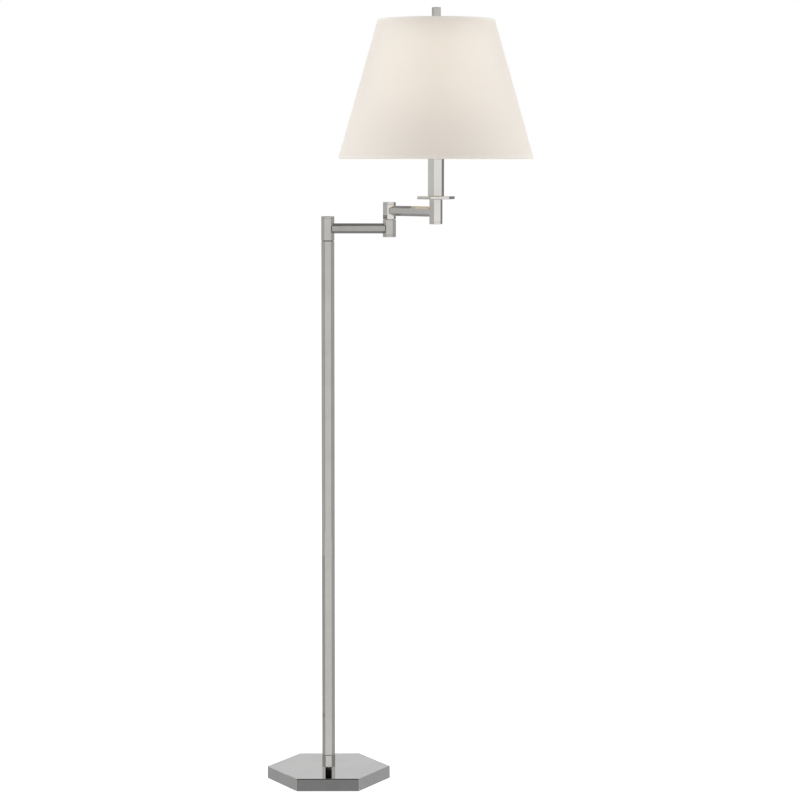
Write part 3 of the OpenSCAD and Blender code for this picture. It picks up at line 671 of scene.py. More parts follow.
@dataclass(frozen=True)
class CastIron(Finish):
    """Raw sand casting with a thin coat of black lacquer."""

    def detail(self, wire: Wiring, shader: bpy.types.Node, where: bpy.types.NodeSocket) -> None:
        """Wire the sandy skin, its pits and a trace of rust."""
        shader.inputs["Metallic"].default_value = 0.55
        sand = wire.noise(where, 1100.0, 4.0, 0.7)
        pits = wire.node("TexVoronoi", Vector=where, Scale=420.0).outputs["Distance"]
        rust = self._group(wire, "handling", Vector=where, Size=0.03).outputs["Mask"]
        tone = wire.mix(wire.math("MULTIPLY", rust, 0.35), self._tone(),
                        (0.16, 0.07, 0.03, 1.0))
        wire.tree.links.new(tone, shader.inputs["Base Color"])
        wire.tree.links.new(wire.math("MULTIPLY_ADD", sand, 0.3, self.roughness),
                            shader.inputs["Roughness"])
        self._bump(wire, shader, wire.math("ADD", sand, wire.spread(pits, 0.0, 0.35)), 0.0003)


@dataclass(frozen=True)
class PressedFelt(Finish):
    """Dense wool felt: matted fibres, lint and a soft sheen."""

    def detail(self, wire: Wiring, shader: bpy.types.Node, where: bpy.types.NodeSocket) -> None:
        """Wire the fibres and their change of tone."""
        shader.inputs["Sheen Weight"].default_value = 0.35
        shader.inputs["Sheen Roughness"].default_value = 0.5
        fibre = wire.noise(where, 900.0, 5.0, 0.75)
        lump = wire.noise(where, 90.0, 3.0)
        lint = wire.spread(wire.noise(where, 2300.0, 1.0), 0.70, 0.74)
        tone = wire.mix(fibre, self._tone(0.55),
                        self._tone(1.5))
        tone = wire.mix(wire.math("MULTIPLY", lint, 0.4), tone, (0.35, 0.34, 0.33, 1.0))
        wire.tree.links.new(tone, shader.inputs["Base Color"])
        wire.tree.links.new(wire.spread(fibre, 0.2, 0.8, 0.86, 1.0), shader.inputs["Roughness"])
        self._bump(wire, shader, wire.math("ADD", fibre, lump), 0.0005)


@dataclass(frozen=True)
class MouldedPart(Finish):
    """Rubber, nylon, phenolic or flex: a smooth moulding with flow marks and fine scuffs."""

    gloss: float = 0.5
    texture: float = 0.00003

    def detail(self, wire: Wiring, shader: bpy.types.Node, where: bpy.types.NodeSocket) -> None:
        """Wire the flow marks, the scuffs and the fine skin."""
        shader.inputs["Specular IOR Level"].default_value = self.gloss
        flow = self._group(wire, "handling", Vector=where, Size=0.018).outputs["Mask"]
        lines = self._group(wire, "hairlines", Vector=where, Density=400.0).outputs["Mask"]
        skin = wire.noise(where, 1500.0, 3.0)
        dust = self._group(wire, "dust", Vector=where, Amount=0.25).outputs["Mask"]
        pale = tuple(min(1.0, c * 1.25 + 0.02) for c in self.colour)
        tone = wire.mix(wire.math("MULTIPLY", flow, 0.4), self._tone(), (*pale, 1.0))
        tone = wire.mix(wire.math("MULTIPLY", lines, 0.3), tone, (*pale, 1.0))
        tone = wire.mix(dust, tone, (0.5, 0.48, 0.45, 1.0))
        wire.tree.links.new(tone, shader.inputs["Base Color"])
        rough = wire.math("MULTIPLY_ADD", flow, 0.12, self.roughness)
        wire.tree.links.new(wire.math("MULTIPLY_ADD", lines, 0.15, rough),
                            shader.inputs["Roughness"])
        self._bump(wire, shader, wire.math("MULTIPLY_ADD", lines, -0.4, skin), self.texture)


@dataclass(frozen=True)
class FibreCard(Finish):
    """Brown pressed card with long fibres."""

    def detail(self, wire: Wiring, shader: bpy.types.Node, where: bpy.types.NodeSocket) -> None:
        """Wire the fibres and the spread of tone."""
        along = wire.node("Mapping", Vector=where, Scale=(1.0, 1.0, 0.15)).outputs[0]
        fibre = wire.noise(along, 1300.0, 4.0, 0.7)
        tone = wire.mix(fibre, self._tone(0.7),
                        self._tone(1.25))
        wire.tree.links.new(tone, shader.inputs["Base Color"])
        wire.tree.links.new(wire.spread(fibre, 0.2, 0.8, self.roughness - 0.1,
                                        self.roughness + 0.1), shader.inputs["Roughness"])
        self._bump(wire, shader, fibre, 0.00012)


@dataclass(frozen=True)
class LitGlass(Finish):
    """Frosted glass of a lit lamp: a glow that falls off toward the neck."""

    glow: float = 2.2
    half_height: float = 0.04

    def detail(self, wire: Wiring, shader: bpy.types.Node, where: bpy.types.NodeSocket) -> None:
        """Wire the etched skin and the glow along the glass."""
        shader.inputs["Coat Weight"].default_value = 0.4
        shader.inputs["Coat Roughness"].default_value = 0.25
        etch = wire.noise(where, 2600.0, 3.0)
        height = wire.node("SeparateXYZ", i0=where).outputs[2]
        share = wire.spread(height, -self.half_height, self.half_height * 0.5, 0.45, 1.0)
        cloud = wire.spread(wire.noise(where, 45.0, 3.0), 0.3, 0.7, 0.92, 1.0)
        level = wire.math("MULTIPLY", share, cloud)
        light = wire.mix(level, (0.62, 0.42, 0.24, 1.0), (1.0, 0.86, 0.68, 1.0))
        wire.tree.links.new(light, shader.inputs["Emission Color"])
        shader.inputs["Emission Strength"].default_value = self.glow
        tone = wire.mix(etch, self._tone(0.95), self._tone())
        wire.tree.links.new(tone, shader.inputs["Base Color"])
        wire.tree.links.new(wire.spread(etch, 0.2, 0.8, self.roughness - 0.08,
                                        self.roughness + 0.08), shader.inputs["Roughness"])
        self._bump(wire, shader, etch, 0.00003)


@dataclass(frozen=True)
class GlowingCloth(Finish):
    """Woven ivory shade cloth, or its lining or tape, with a painted glow: emission that stands in for
    the lamp's light shining through it.
    """

    # Strength of the painted glow, an emission in place of the bulb's light through the cloth.
    glow: float = 0.4
    # Level of the painted glow where the cloth is seen edge-on.
    painted_limb_glow: float = 0.68
    pitch: float = 0.00055
    depth: float = 0.00012
    low_z: float = 1.24
    height: float = 0.27
    warm: Colour = (1.0, 0.86, 0.72)

    def detail(self, wire: Wiring, shader: bpy.types.Node, where: bpy.types.NodeSocket) -> None:
        """Wire the weave on the UV map and the painted glow over the height of the shade."""
        shader.inputs["Sheen Weight"].default_value = 0.12
        shader.inputs["Sheen Roughness"].default_value = 0.45
        shader.inputs["Specular IOR Level"].default_value = 0.25
        flat = wire.node("UVMap", {"uv_map": "cloth"}).outputs[0]
        weave = self._group(wire, "weave", Vector=flat, Pitch=self.pitch)
        # Painted light: the glow rises from the bottom rim to a peak about three quarters up and falls
        # off toward the top rim, with a slight unevenness.
        glow_unevenness = wire.noise(where, 9.0, 2.0)
        parts = wire.node("SeparateXYZ", i0=where)
        share = wire.spread(parts.outputs[2], self.low_z, self.low_z + self.height)
        ramp = wire.node("ValToRGB", Fac=share)
        painted_glow_by_height = ((0.0, 0.60), (0.18, 0.66), (0.50, 0.93), (0.72, 1.0), (0.86, 0.95), (0.94, 0.78),
                 (1.0, 0.60))
        elements = ramp.color_ramp.elements
        while len(elements) < len(painted_glow_by_height):
            elements.new(0.5)
        for element, (place, level) in zip(elements, painted_glow_by_height):
            element.position = place
            element.color = (level, level, level, 1.0)
        level = wire.math("MULTIPLY", ramp.outputs[0],
                          wire.spread(glow_unevenness, 0.3, 0.7, 0.97, 1.0))
        # Painted light through the weave: the glow is a little stronger where the threads dip and weaker
        # on their crowns.
        thread = wire.spread(weave.outputs["Height"], 0.0, 1.2, 1.06, 0.95)
        level = wire.math("MULTIPLY", level, thread)
        # Painted shade at the silhouette: where the cloth is seen edge-on by the view's facing angle,
        # the glow gives way to a fixed level.
        slant = wire.node("LayerWeight", Blend=0.5).outputs["Facing"]
        painted_limb_glow = wire.spread(slant, 0.10, 0.65)
        kept = wire.math("MULTIPLY", level, wire.math("SUBTRACT", 1.0, painted_limb_glow))
        level = wire.math("MULTIPLY_ADD", painted_limb_glow, self.painted_limb_glow, kept)
        # The painted glow: a warm emission that stands in for the bulb's light through the cloth.
        light = wire.mix(level, (0.0, 0.0, 0.0, 1.0), (*self.warm, 1.0))
        wire.tree.links.new(light, shader.inputs["Emission Color"])
        shader.inputs["Emission Strength"].default_value = self.glow
        tone = wire.mix(weave.outputs["Shade"], self._tone(),
                        self._tone(0.94))
        # Painted shade in the weave: the cloth is darker where the threads dip.
        tone = wire.mix(wire.spread(weave.outputs["Height"], 0.0, 0.8, 0.25, 0.0), tone,
                        self._tone(0.80))
        wire.tree.links.new(tone, shader.inputs["Base Color"])
        wire.tree.links.new(wire.spread(weave.outputs["Height"], 0.0, 1.0, self.roughness + 0.08,
                                        self.roughness - 0.05), shader.inputs["Roughness"])
        self._bump(wire, shader, weave.outputs["Height"], self.depth)


NICKEL = PolishedNickel("polished_nickel", "nickel", (0.50, 0.488, 0.465), 0.03)
MIRROR_NICKEL = PolishedNickel("mirror_nickel", "nickel", (0.50, 0.488, 0.465), 0.007, smudge=0.01,
                               scratch=0.02)
COVER_NICKEL = PolishedNickel("cover_nickel", "nickel", (0.50, 0.50, 0.496), 0.007, smudge=0.01,
                              scratch=0.02)
# A darker copy of the same nickel for the lower arm rod: painted shade.
DARKENED_ROD_NICKEL = PolishedNickel("darkened_rod_nickel", "nickel", (0.395, 0.386, 0.368), 0.045)
STEEL = MachinedMetal("zinc_plated_steel", "steel", (0.58, 0.59, 0.61), 0.24,
                      tarnish=(0.36, 0.36, 0.36))
BRASS = MachinedMetal("machined_brass", "brass", (0.78, 0.60, 0.27), 0.20,
                      tarnish=(0.36, 0.22, 0.09))
IRON = CastIron("cast_iron", "iron", (0.045, 0.045, 0.048), 0.55)
FELT = PressedFelt("black_felt", "felt", (0.020, 0.020, 0.022), 0.95)
RUBBER = MouldedPart("black_rubber", "rubber", (0.018, 0.018, 0.018), 0.55, gloss=0.35)
NYLON = MouldedPart("white_nylon", "nylon", (0.80, 0.79, 0.74), 0.35)
LEAD = MouldedPart("gold_flex", "lead", (0.55, 0.38, 0.13), 0.22, gloss=0.6)
PHENOLIC = MouldedPart("black_phenolic", "phenolic", (0.012, 0.011, 0.010), 0.22, gloss=0.6)
CARD = FibreCard("fibre_card", "card", (0.32, 0.21, 0.12), 0.8)


# ---- Sub-assemblies ----------------------------------------------------------------------


def dress(nodes: Sequence[str], finish: Finish, ease: float = 0.0, steps: int = 3) -> None:
    """Give CAD nodes a finish, and ease their sharp edges where asked.

    Args:
        nodes: The names of the CAD nodes.
        finish: The finish that they get.
        ease: Width of the eased edges in metres, or 0 to leave them sharp.
        steps: Facets across an eased edge.
    """
    for name in nodes:
        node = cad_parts[name]
        node.data.materials.clear()
        node.data.materials.append(finish.material())
        if ease > 0:
            weld = node.modifiers.new("weld", "WELD")
            weld.merge_threshold = MERGE
            flat = node.modifiers.new("flat", "DECIMATE")
            flat.decimate_type = "DISSOLVE"
            flat.angle_limit = FLAT_ANGLE
            bevel = node.modifiers.new("ease", "BEVEL")
            bevel.width = ease
            bevel.segments = steps
            bevel.limit_method = "ANGLE"
            bevel.angle_limit = EASED_ANGLE
        LOG.info("dressed %s in %s", name, finish.name)


def axis_of(node: str, z: float = 0.0) -> Vector:
    """The point at a height on the upright axis through the middle of a CAD node."""
    low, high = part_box(node)
    return Vector(((low.x + high.x) / 2, (low.y + high.y) / 2, z))


def seam_ring(name: str, washer: str, body: str, finish: Finish) -> None:
    """Turn the ring that keeps dust out of a swivel's seam.

    Args:
        name: The name of the new piece.
        washer: The CAD thrust washer in the same seam.
        body: The CAD body that carries the ring.
        finish: What the ring is made of.
    """
    low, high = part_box(washer)
    inner, outer, slack, ease = 9.5 * MM, 11.1 * MM, 0.05 * MM, 0.08 * MM
    tall = high.z - low.z - 2 * slack
    centre = axis_of(washer, low.z + slack)
    ring = Bench.revolve(name, [
        (inner, 0.0), (outer - ease, 0.0), (outer, ease), (outer, tall - ease),
        (outer - ease, tall), (inner, tall)], centre, 72, closed=True)
    fit(ring, finish, body)


def fit(piece: bpy.types.Object, finish: Finish, body: str, *nodes: str) -> bpy.types.Object:
    """Finish a new piece: its material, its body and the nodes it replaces.

    Args:
        piece: The new piece.
        finish: Its finish.
        body: The CAD body that it rides on.
        nodes: The CAD nodes that it stands for.

    Returns:
        The same piece.
    """
    piece.data.materials.clear()
    piece.data.materials.append(finish.material())
    for polygon in piece.data.polygons:
        polygon.material_index = 0
    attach(piece, body)
    if nodes:
        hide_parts(*nodes)
    LOG.info("made %s: %d faces, rides on %s", piece.name, len(piece.data.polygons), body)
    return piece


@dataclass
class WeightedBase:
    """The hexagonal base: felt, iron weight, polished cover, and the hardware in it."""

    cover_ease: float = 0.45 * MM
    weight_ease: float = 0.5 * MM
    felt_ease: float = 0.35 * MM
    felt_insets: tuple[float, float] = (4.0 * MM, 30.0 * MM)

    def build(self) -> None:
        """Dress the CAD nodes and make the felt pad."""
        dress(["base_cover"], COVER_NICKEL, self.cover_ease, 1)
        dress(["base_weight"], IRON, self.weight_ease)
        dress(["base_nipple", "base_nut"], BRASS)
        dress(["base_washer"], STEEL)
        dress(["cord_bushing"], RUBBER)
        self._felt()

    def _felt(self) -> None:
        """Make the felt pad: a cut hexagon with soft edges."""
        low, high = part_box("base_felt")
        centre = (low + high) / 2
        Bench.clear()
        bpy.ops.mesh.primitive_cylinder_add(
            vertices=6, radius=(high.x - low.x) / 2, depth=high.z - low.z, location=centre,
            rotation=(0.0, 0.0, math.radians(30.0)))
        pad = Bench.named("felt_pad")
        Bench.edit(pad, Element.FACES)
        Bench.pick_faces(pad, lambda middle, normal: abs(normal.z) > 0.9)
        for inset in self.felt_insets:
            bpy.ops.mesh.inset(thickness=inset, use_individual=True)
        Bench.done()
        Bench.apply(pad, "BEVEL", width=self.felt_ease, segments=2, limit_method="ANGLE",
                    angle_limit=math.radians(40.0))
        fit(pad, FELT, "stand", "base_felt")


@dataclass
class Column:
    """The hexagonal column with its plugs, and the shoulder swivel's fixed parts."""

    ease: float = 0.4 * MM

    def build(self) -> None:
        """Dress the CAD nodes."""
        dress(["column_tube"], MIRROR_NICKEL, self.ease)
        dress(["column_foot_plug", "column_head_plug", "shoulder_spring_washer",
               "shoulder_stop_pin"], STEEL)
        dress(["shoulder_spindle", "shoulder_nut", "shoulder_friction_washer"], BRASS)
        dress(["shoulder_thrust_washer"], NYLON)
        dress(["column_lead"], LEAD)
        seam_ring("shoulder_dust_ring", "shoulder_thrust_washer", "stand", RUBBER)


@dataclass
class SwingArms:
    """Both arms: hexagonal blocks, caps and rods, with the swivel hardware in them."""

    ease: float = 0.4 * MM

    def build(self) -> None:
        """Dress the CAD nodes."""
        dress(["shoulder_block", "shoulder_cap", "elbow_lower_block", "elbow_bottom_cap",
               "elbow_upper_block", "elbow_top_cap", "head_block", "head_bottom_cap"],
              NICKEL, self.ease)
        dress(["lower_arm_rod"], DARKENED_ROD_NICKEL, self.ease)
        dress(["upper_arm_rod"], NICKEL, self.ease)
        dress(["elbow_spindle", "elbow_nuts", "elbow_friction_washer"], BRASS)
        dress(["elbow_spring_washer", "elbow_stop_pin"], STEEL)
        dress(["elbow_thrust_washer"], NYLON)
        dress(["lower_arm_lead", "upper_arm_lead"], LEAD)
        seam_ring("elbow_dust_ring", "elbow_thrust_washer", "lower_arm", NYLON)


@dataclass
class Head:
    """The stack on the upper arm's end: drip plate, sleeve, cap, stem and finial."""

    ease: float = 0.4 * MM

    def build(self) -> None:
        """Dress the CAD nodes."""
        dress(["drip_plate", "sleeve", "sleeve_cap", "finial"], NICKEL, self.ease)
        dress(["stem_nut", "stem_nipple"], BRASS)


@dataclass
class Harp:
    """The harp: one bent wire with its collar and stud, its saddle and two ferrules."""

    wire_r: float = 1.7 * MM
    spread: float = 67.6 * MM
    leg_start: float = 19.6 * MM
    leg_top: float = 40.6 * MM
    kink_r: float = 12.0 * MM
    lean: float = 20.0
    stud_rise: float = 18.3 * MM
    shoulder_r: float = 30.0 * MM
    flat: float = 6.0 * MM
    saddle_ease: float = 0.3 * MM
    stud_r: float = 3.1 * MM
    stud_h: float = 14.0 * MM
    stud_tip: float = 0.6 * MM
    collar_r: float = 5.2 * MM
    collar_ease: float = 0.4 * MM
    collar_lap: float = 1.0 * MM
    ferrule_gap: float = 0.06 * MM
    ferrule_neck: float = 0.5 * MM

    def build(self) -> None:
        """Make the wire and the ferrules, and dress the saddle."""
        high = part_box("harp")[1]
        self.axis = axis_of("harp")
        self.base = Vector((self.axis.x, self.axis.y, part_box("harp_saddle")[0].z))
        self.high = high.z
        self.top = high.z - self.base.z - self.stud_rise
        dress(["harp_saddle"], STEEL, self.saddle_ease)
        self._wire()
        for name in ("left", "right"):
            self._ferrule(name)

    def _wire(self) -> None:
        """Bend one leg, the side and the shoulder, and mirror them into the whole bow."""
        lean = math.radians(self.lean)
        leg = self.spread / 2
        kink_end = Vector((leg + self.kink_r * (1 - math.cos(lean)),
                           self.leg_top + self.kink_r * math.sin(lean)))
        shoulder = Vector((self.flat, self.top - self.shoulder_r))
        to = shoulder - kink_end
        side_r = (self.shoulder_r ** 2 - to.dot(to)) / (
            2 * (math.cos(lean) * to.x - math.sin(lean) * to.y + self.shoulder_r))
        side = kink_end + side_r * Vector((-math.cos(lean), math.sin(lean)))
        side_end = math.atan2(shoulder.y - side.y, shoulder.x - side.x)
        Bench.clear()
        start = self.base + Vector((leg, 0.0, self.leg_start))
        bpy.ops.mesh.primitive_circle_add(vertices=16, radius=self.wire_r, location=start)
        bow = Bench.named("harp_wire")
        Bench.edit(bow)
        bpy.ops.mesh.select_all(action="SELECT")
        bpy.ops.mesh.extrude_region_move(
            TRANSFORM_OT_translate={"value": (0.0, 0.0, self.leg_top - self.leg_start)})
        turns = (
            (Vector((leg + self.kink_r, self.leg_top)), lean, 5, -1),
            (side, lean + side_end, 14, 1),
            (shoulder, math.pi / 2 - side_end, 10, 1),
        )
        for middle, angle, steps, sense in turns:
            centre = self.base + Vector((middle.x, 0.0, middle.y))
            bpy.ops.mesh.spin(steps=steps, angle=angle, center=centre,
                              axis=(0.0, float(sense), 0.0))
        bpy.ops.mesh.extrude_region_move(
            TRANSFORM_OT_translate={"value": (-self.flat, 0.0, 0.0)})
        bpy.ops.mesh.select_all(action="SELECT")
        bpy.ops.mesh.remove_doubles(threshold=MERGE)
        Bench.done()
        bow.data.transform(Matrix.Translation(-self.axis))
        Bench.apply(bow, "MIRROR", use_axis=(True, False, False), merge_threshold=1e-5)
        bow.data.transform(Matrix.Translation(self.axis))
        Bench.edit(bow)
        Bench.pick_verts(bow, lambda co: co.z < start.z + 1e-6)
        bpy.ops.mesh.fill_holes(sides=0)
        bpy.ops.mesh.select_all(action="SELECT")
        bpy.ops.mesh.normals_make_consistent(inside=False)
        Bench.done()
        Bench.smooth(bow)
        fit(Bench.join([bow, self._stud()], "harp_bow"), STEEL, "upper_arm", "harp")

    def _stud(self) -> bpy.types.Object:
        """Turn the collar round the bow's crown and the stud above it."""
        r, collar, ease, tip = self.stud_r, self.collar_r, self.collar_ease, self.stud_tip
        foot = self.top - self.wire_r - self.collar_lap
        crown = self.high - self.base.z
        flange = crown - self.stud_h
        return Bench.revolve("harp_stud", [
            (0.0, foot), (collar - ease, foot), (collar, foot + ease),
            (collar, flange - ease), (collar - ease, flange), (r, flange),
            (r, crown - tip), (r - tip, crown), (0.0, crown)], self.base, 48)

    def _ferrule(self, name: str) -> None:
        """Turn one ferrule, with a bead at each end.

        Args:
            name: "left" or "right".
        """
        node = "harp_ferrule_" + name
        low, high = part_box(node)
        centre = axis_of(node, low.z)
        tall, bead, body = high.z - low.z, (high.x - low.x) / 2, (high.x - low.x) / 2 - self.ferrule_neck
        bore = self.wire_r + self.ferrule_gap
        section = [(bore, 0.0), (bead - 0.3 * MM, 0.0), (bead, 0.4 * MM), (bead, 1.6 * MM),
                   (body, 2.1 * MM), (body, tall - 2.1 * MM), (bead, tall - 1.6 * MM),
                   (bead, tall - 0.4 * MM), (bead - 0.3 * MM, tall), (bore, tall)]
        ferrule = Bench.revolve("ferrule_" + name, section, centre, 40, closed=True)
        fit(ferrule, NICKEL, "ferrule_" + name, node)


@dataclass
class LampHolder:
    """The lamp holder with its cap, shell and knob, and the lit lamp in it."""

    knob_ease: float = 0.15 * MM
    cap_bore_r: float = 5.05 * MM
    cap_wall: float = 0.8 * MM
    cap_hub_r: float = 8.0 * MM
    cap_floor: float = 8.0 * MM
    cap_rim: float = 6.0 * MM
    shell_r: float = 16.1 * MM
    shell_wall: float = 0.5 * MM
    shell_beads: tuple[float, float] = (10.0 * MM, 24.0 * MM)
    bead_depth: float = 0.35 * MM
    screw_r: float = 13.0 * MM
    screw_turns: int = 6
    screw_pitch: float = 3.2 * MM
    screw_start: float = 4.6 * MM
    neck_h: float = 6.0 * MM

    def build(self) -> None:
        """Turn the visible round parts and dress what is inside."""
        self.axis = Vector((axis_of("holder_shell").x, axis_of("bulb_glass").y, 0.0))
        dress(["holder_liner"], CARD)
        dress(["holder_body"], PHENOLIC)
        dress(["terminal_screws", "centre_contact", "screw_shell"], BRASS)
        dress(["switch_knob"], PHENOLIC, self.knob_ease)
        self._cap()
        self._shell()
        self._lamp()

    def _at(self, z: float) -> Vector:
        """The point on the holder's axis at a height."""
        return Vector((self.axis.x, self.axis.y, z))

    def _cap(self) -> None:
        """Spin the cap: a quarter-round bowl with a rolled rim over a hub."""
        low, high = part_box("holder_cap")
        out, tall = (high.x - low.x) / 2, high.z - low.z
        wall, hub, rim = self.cap_wall, self.cap_hub_r, self.cap_rim
        bowl = out - hub
        foot = tall - rim - bowl
        outer = [(hub + bowl * math.sin(a), foot + bowl * (1 - math.cos(a)))
                 for a in [math.pi / 2 * i / 12 for i in range(13)]]
        inner = [(hub + (bowl - wall) * math.sin(a), foot + bowl - (bowl - wall) * math.cos(a))
                 for a in [math.pi / 2 * i / 12 for i in range(12, -1, -1)]]
        section = ([(self.cap_bore_r, 0.0), (hub - 0.4 * MM, 0.0), (hub, 0.4 * MM)]
                   + outer + [(out, tall - 0.4 * MM), (out - 0.25 * MM, tall),
                              (out - wall, tall - 0.2 * MM)]
                   + inner + [(hub, self.cap_floor), (self.cap_bore_r, self.cap_floor)])
        cap = Bench.revolve("holder_bowl", section, self._at(low.z), 72, closed=True)
        fit(cap, BRASS, "upper_arm", "holder_cap")

    def _shell(self) -> None:
        """Spin the shell: a thin tube with two pressed beads and a rolled top."""
        low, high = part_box("holder_shell")
        out, tall, wall = self.shell_r, high.z - low.z, self.shell_wall
        groove = out - self.bead_depth
        section: list[tuple[float, float]] = [(out - wall, 0.0), (out, 0.0)]
        for bead in self.shell_beads:
            section += [(out, bead - 1.2 * MM), (groove, bead - 0.5 * MM),
                        (groove, bead + 0.5 * MM), (out, bead + 1.2 * MM)]
        lip = tall - 2.0 * MM
        section += [(out, lip - 0.8 * MM)]
        section += [(out - 0.2 * MM + 0.8 * MM * math.cos(a), lip + 0.8 * MM * math.sin(a))
                    for a in [math.radians(d) for d in range(-60, 91, 25)]]
        section += [(out - wall, tall)]
        shell = Bench.revolve("holder_tube", section, self._at(low.z), 72, closed=True)
        fit(shell, BRASS, "upper_arm", "holder_shell")

    def _lamp(self) -> None:
        """Turn the lamp: a screw base with rolled threads, and a frosted glass."""
        low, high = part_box("bulb_base")
        r, tall = self.screw_r, high.z - low.z
        section = [(0.0, 0.0), (3.6 * MM, 0.0), (4.5 * MM, 0.6 * MM), (4.5 * MM, 1.5 * MM),
                   (6.0 * MM, 1.5 * MM), (r - 0.8 * MM, 4.0 * MM)]
        pitch = self.screw_pitch
        for number in range(self.screw_turns):
            z = self.screw_start + number * pitch
            section += [(r - 0.7 * MM, z), (r - 0.1 * MM, z + pitch * 0.25),
                        (r, z + pitch * 0.5), (r - 0.1 * MM, z + pitch * 0.75)]
        section += [(r - 0.5 * MM, tall - 4.0 * MM), (r - 0.2 * MM, tall - 3.0 * MM),
                    (r - 0.2 * MM, tall), (0.0, tall)]
        base = Bench.revolve("lamp_base", section, self._at(low.z), 64)
        fit(base, BRASS, "upper_arm", "bulb_base")
        low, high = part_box("bulb_glass")
        ball, neck = (high.x - low.x) / 2, r
        middle = high.z - low.z - ball
        neck_z = self.neck_h
        rise = middle - neck_z
        hollow = (neck ** 2 + rise ** 2 - ball ** 2) / (2 * (ball - neck))
        meet = math.atan2(rise, neck + hollow)
        section = [(0.0, 0.3 * MM), (neck - 0.6 * MM, 0.0), (neck, 0.6 * MM), (neck, neck_z)]
        section += [(neck + hollow - hollow * math.cos(meet * i / 8),
                     neck_z + hollow * math.sin(meet * i / 8)) for i in range(1, 8)]
        section += [(ball * math.cos(a), middle + ball * math.sin(a))
                    for a in [-meet + (math.pi / 2 + meet) * i / 20 for i in range(20)]]
        section += [(0.0, high.z - low.z)]
        glass = Bench.revolve("lamp_glass", section, self._at(low.z), 64)
        finish = LitGlass("frosted_glass", "glass", (0.92, 0.88, 0.80), 0.42,
                          origin=(self.axis.x, self.axis.y, low.z + middle),
                          half_height=middle)
        fit(glass, finish, "upper_arm", "bulb_glass")


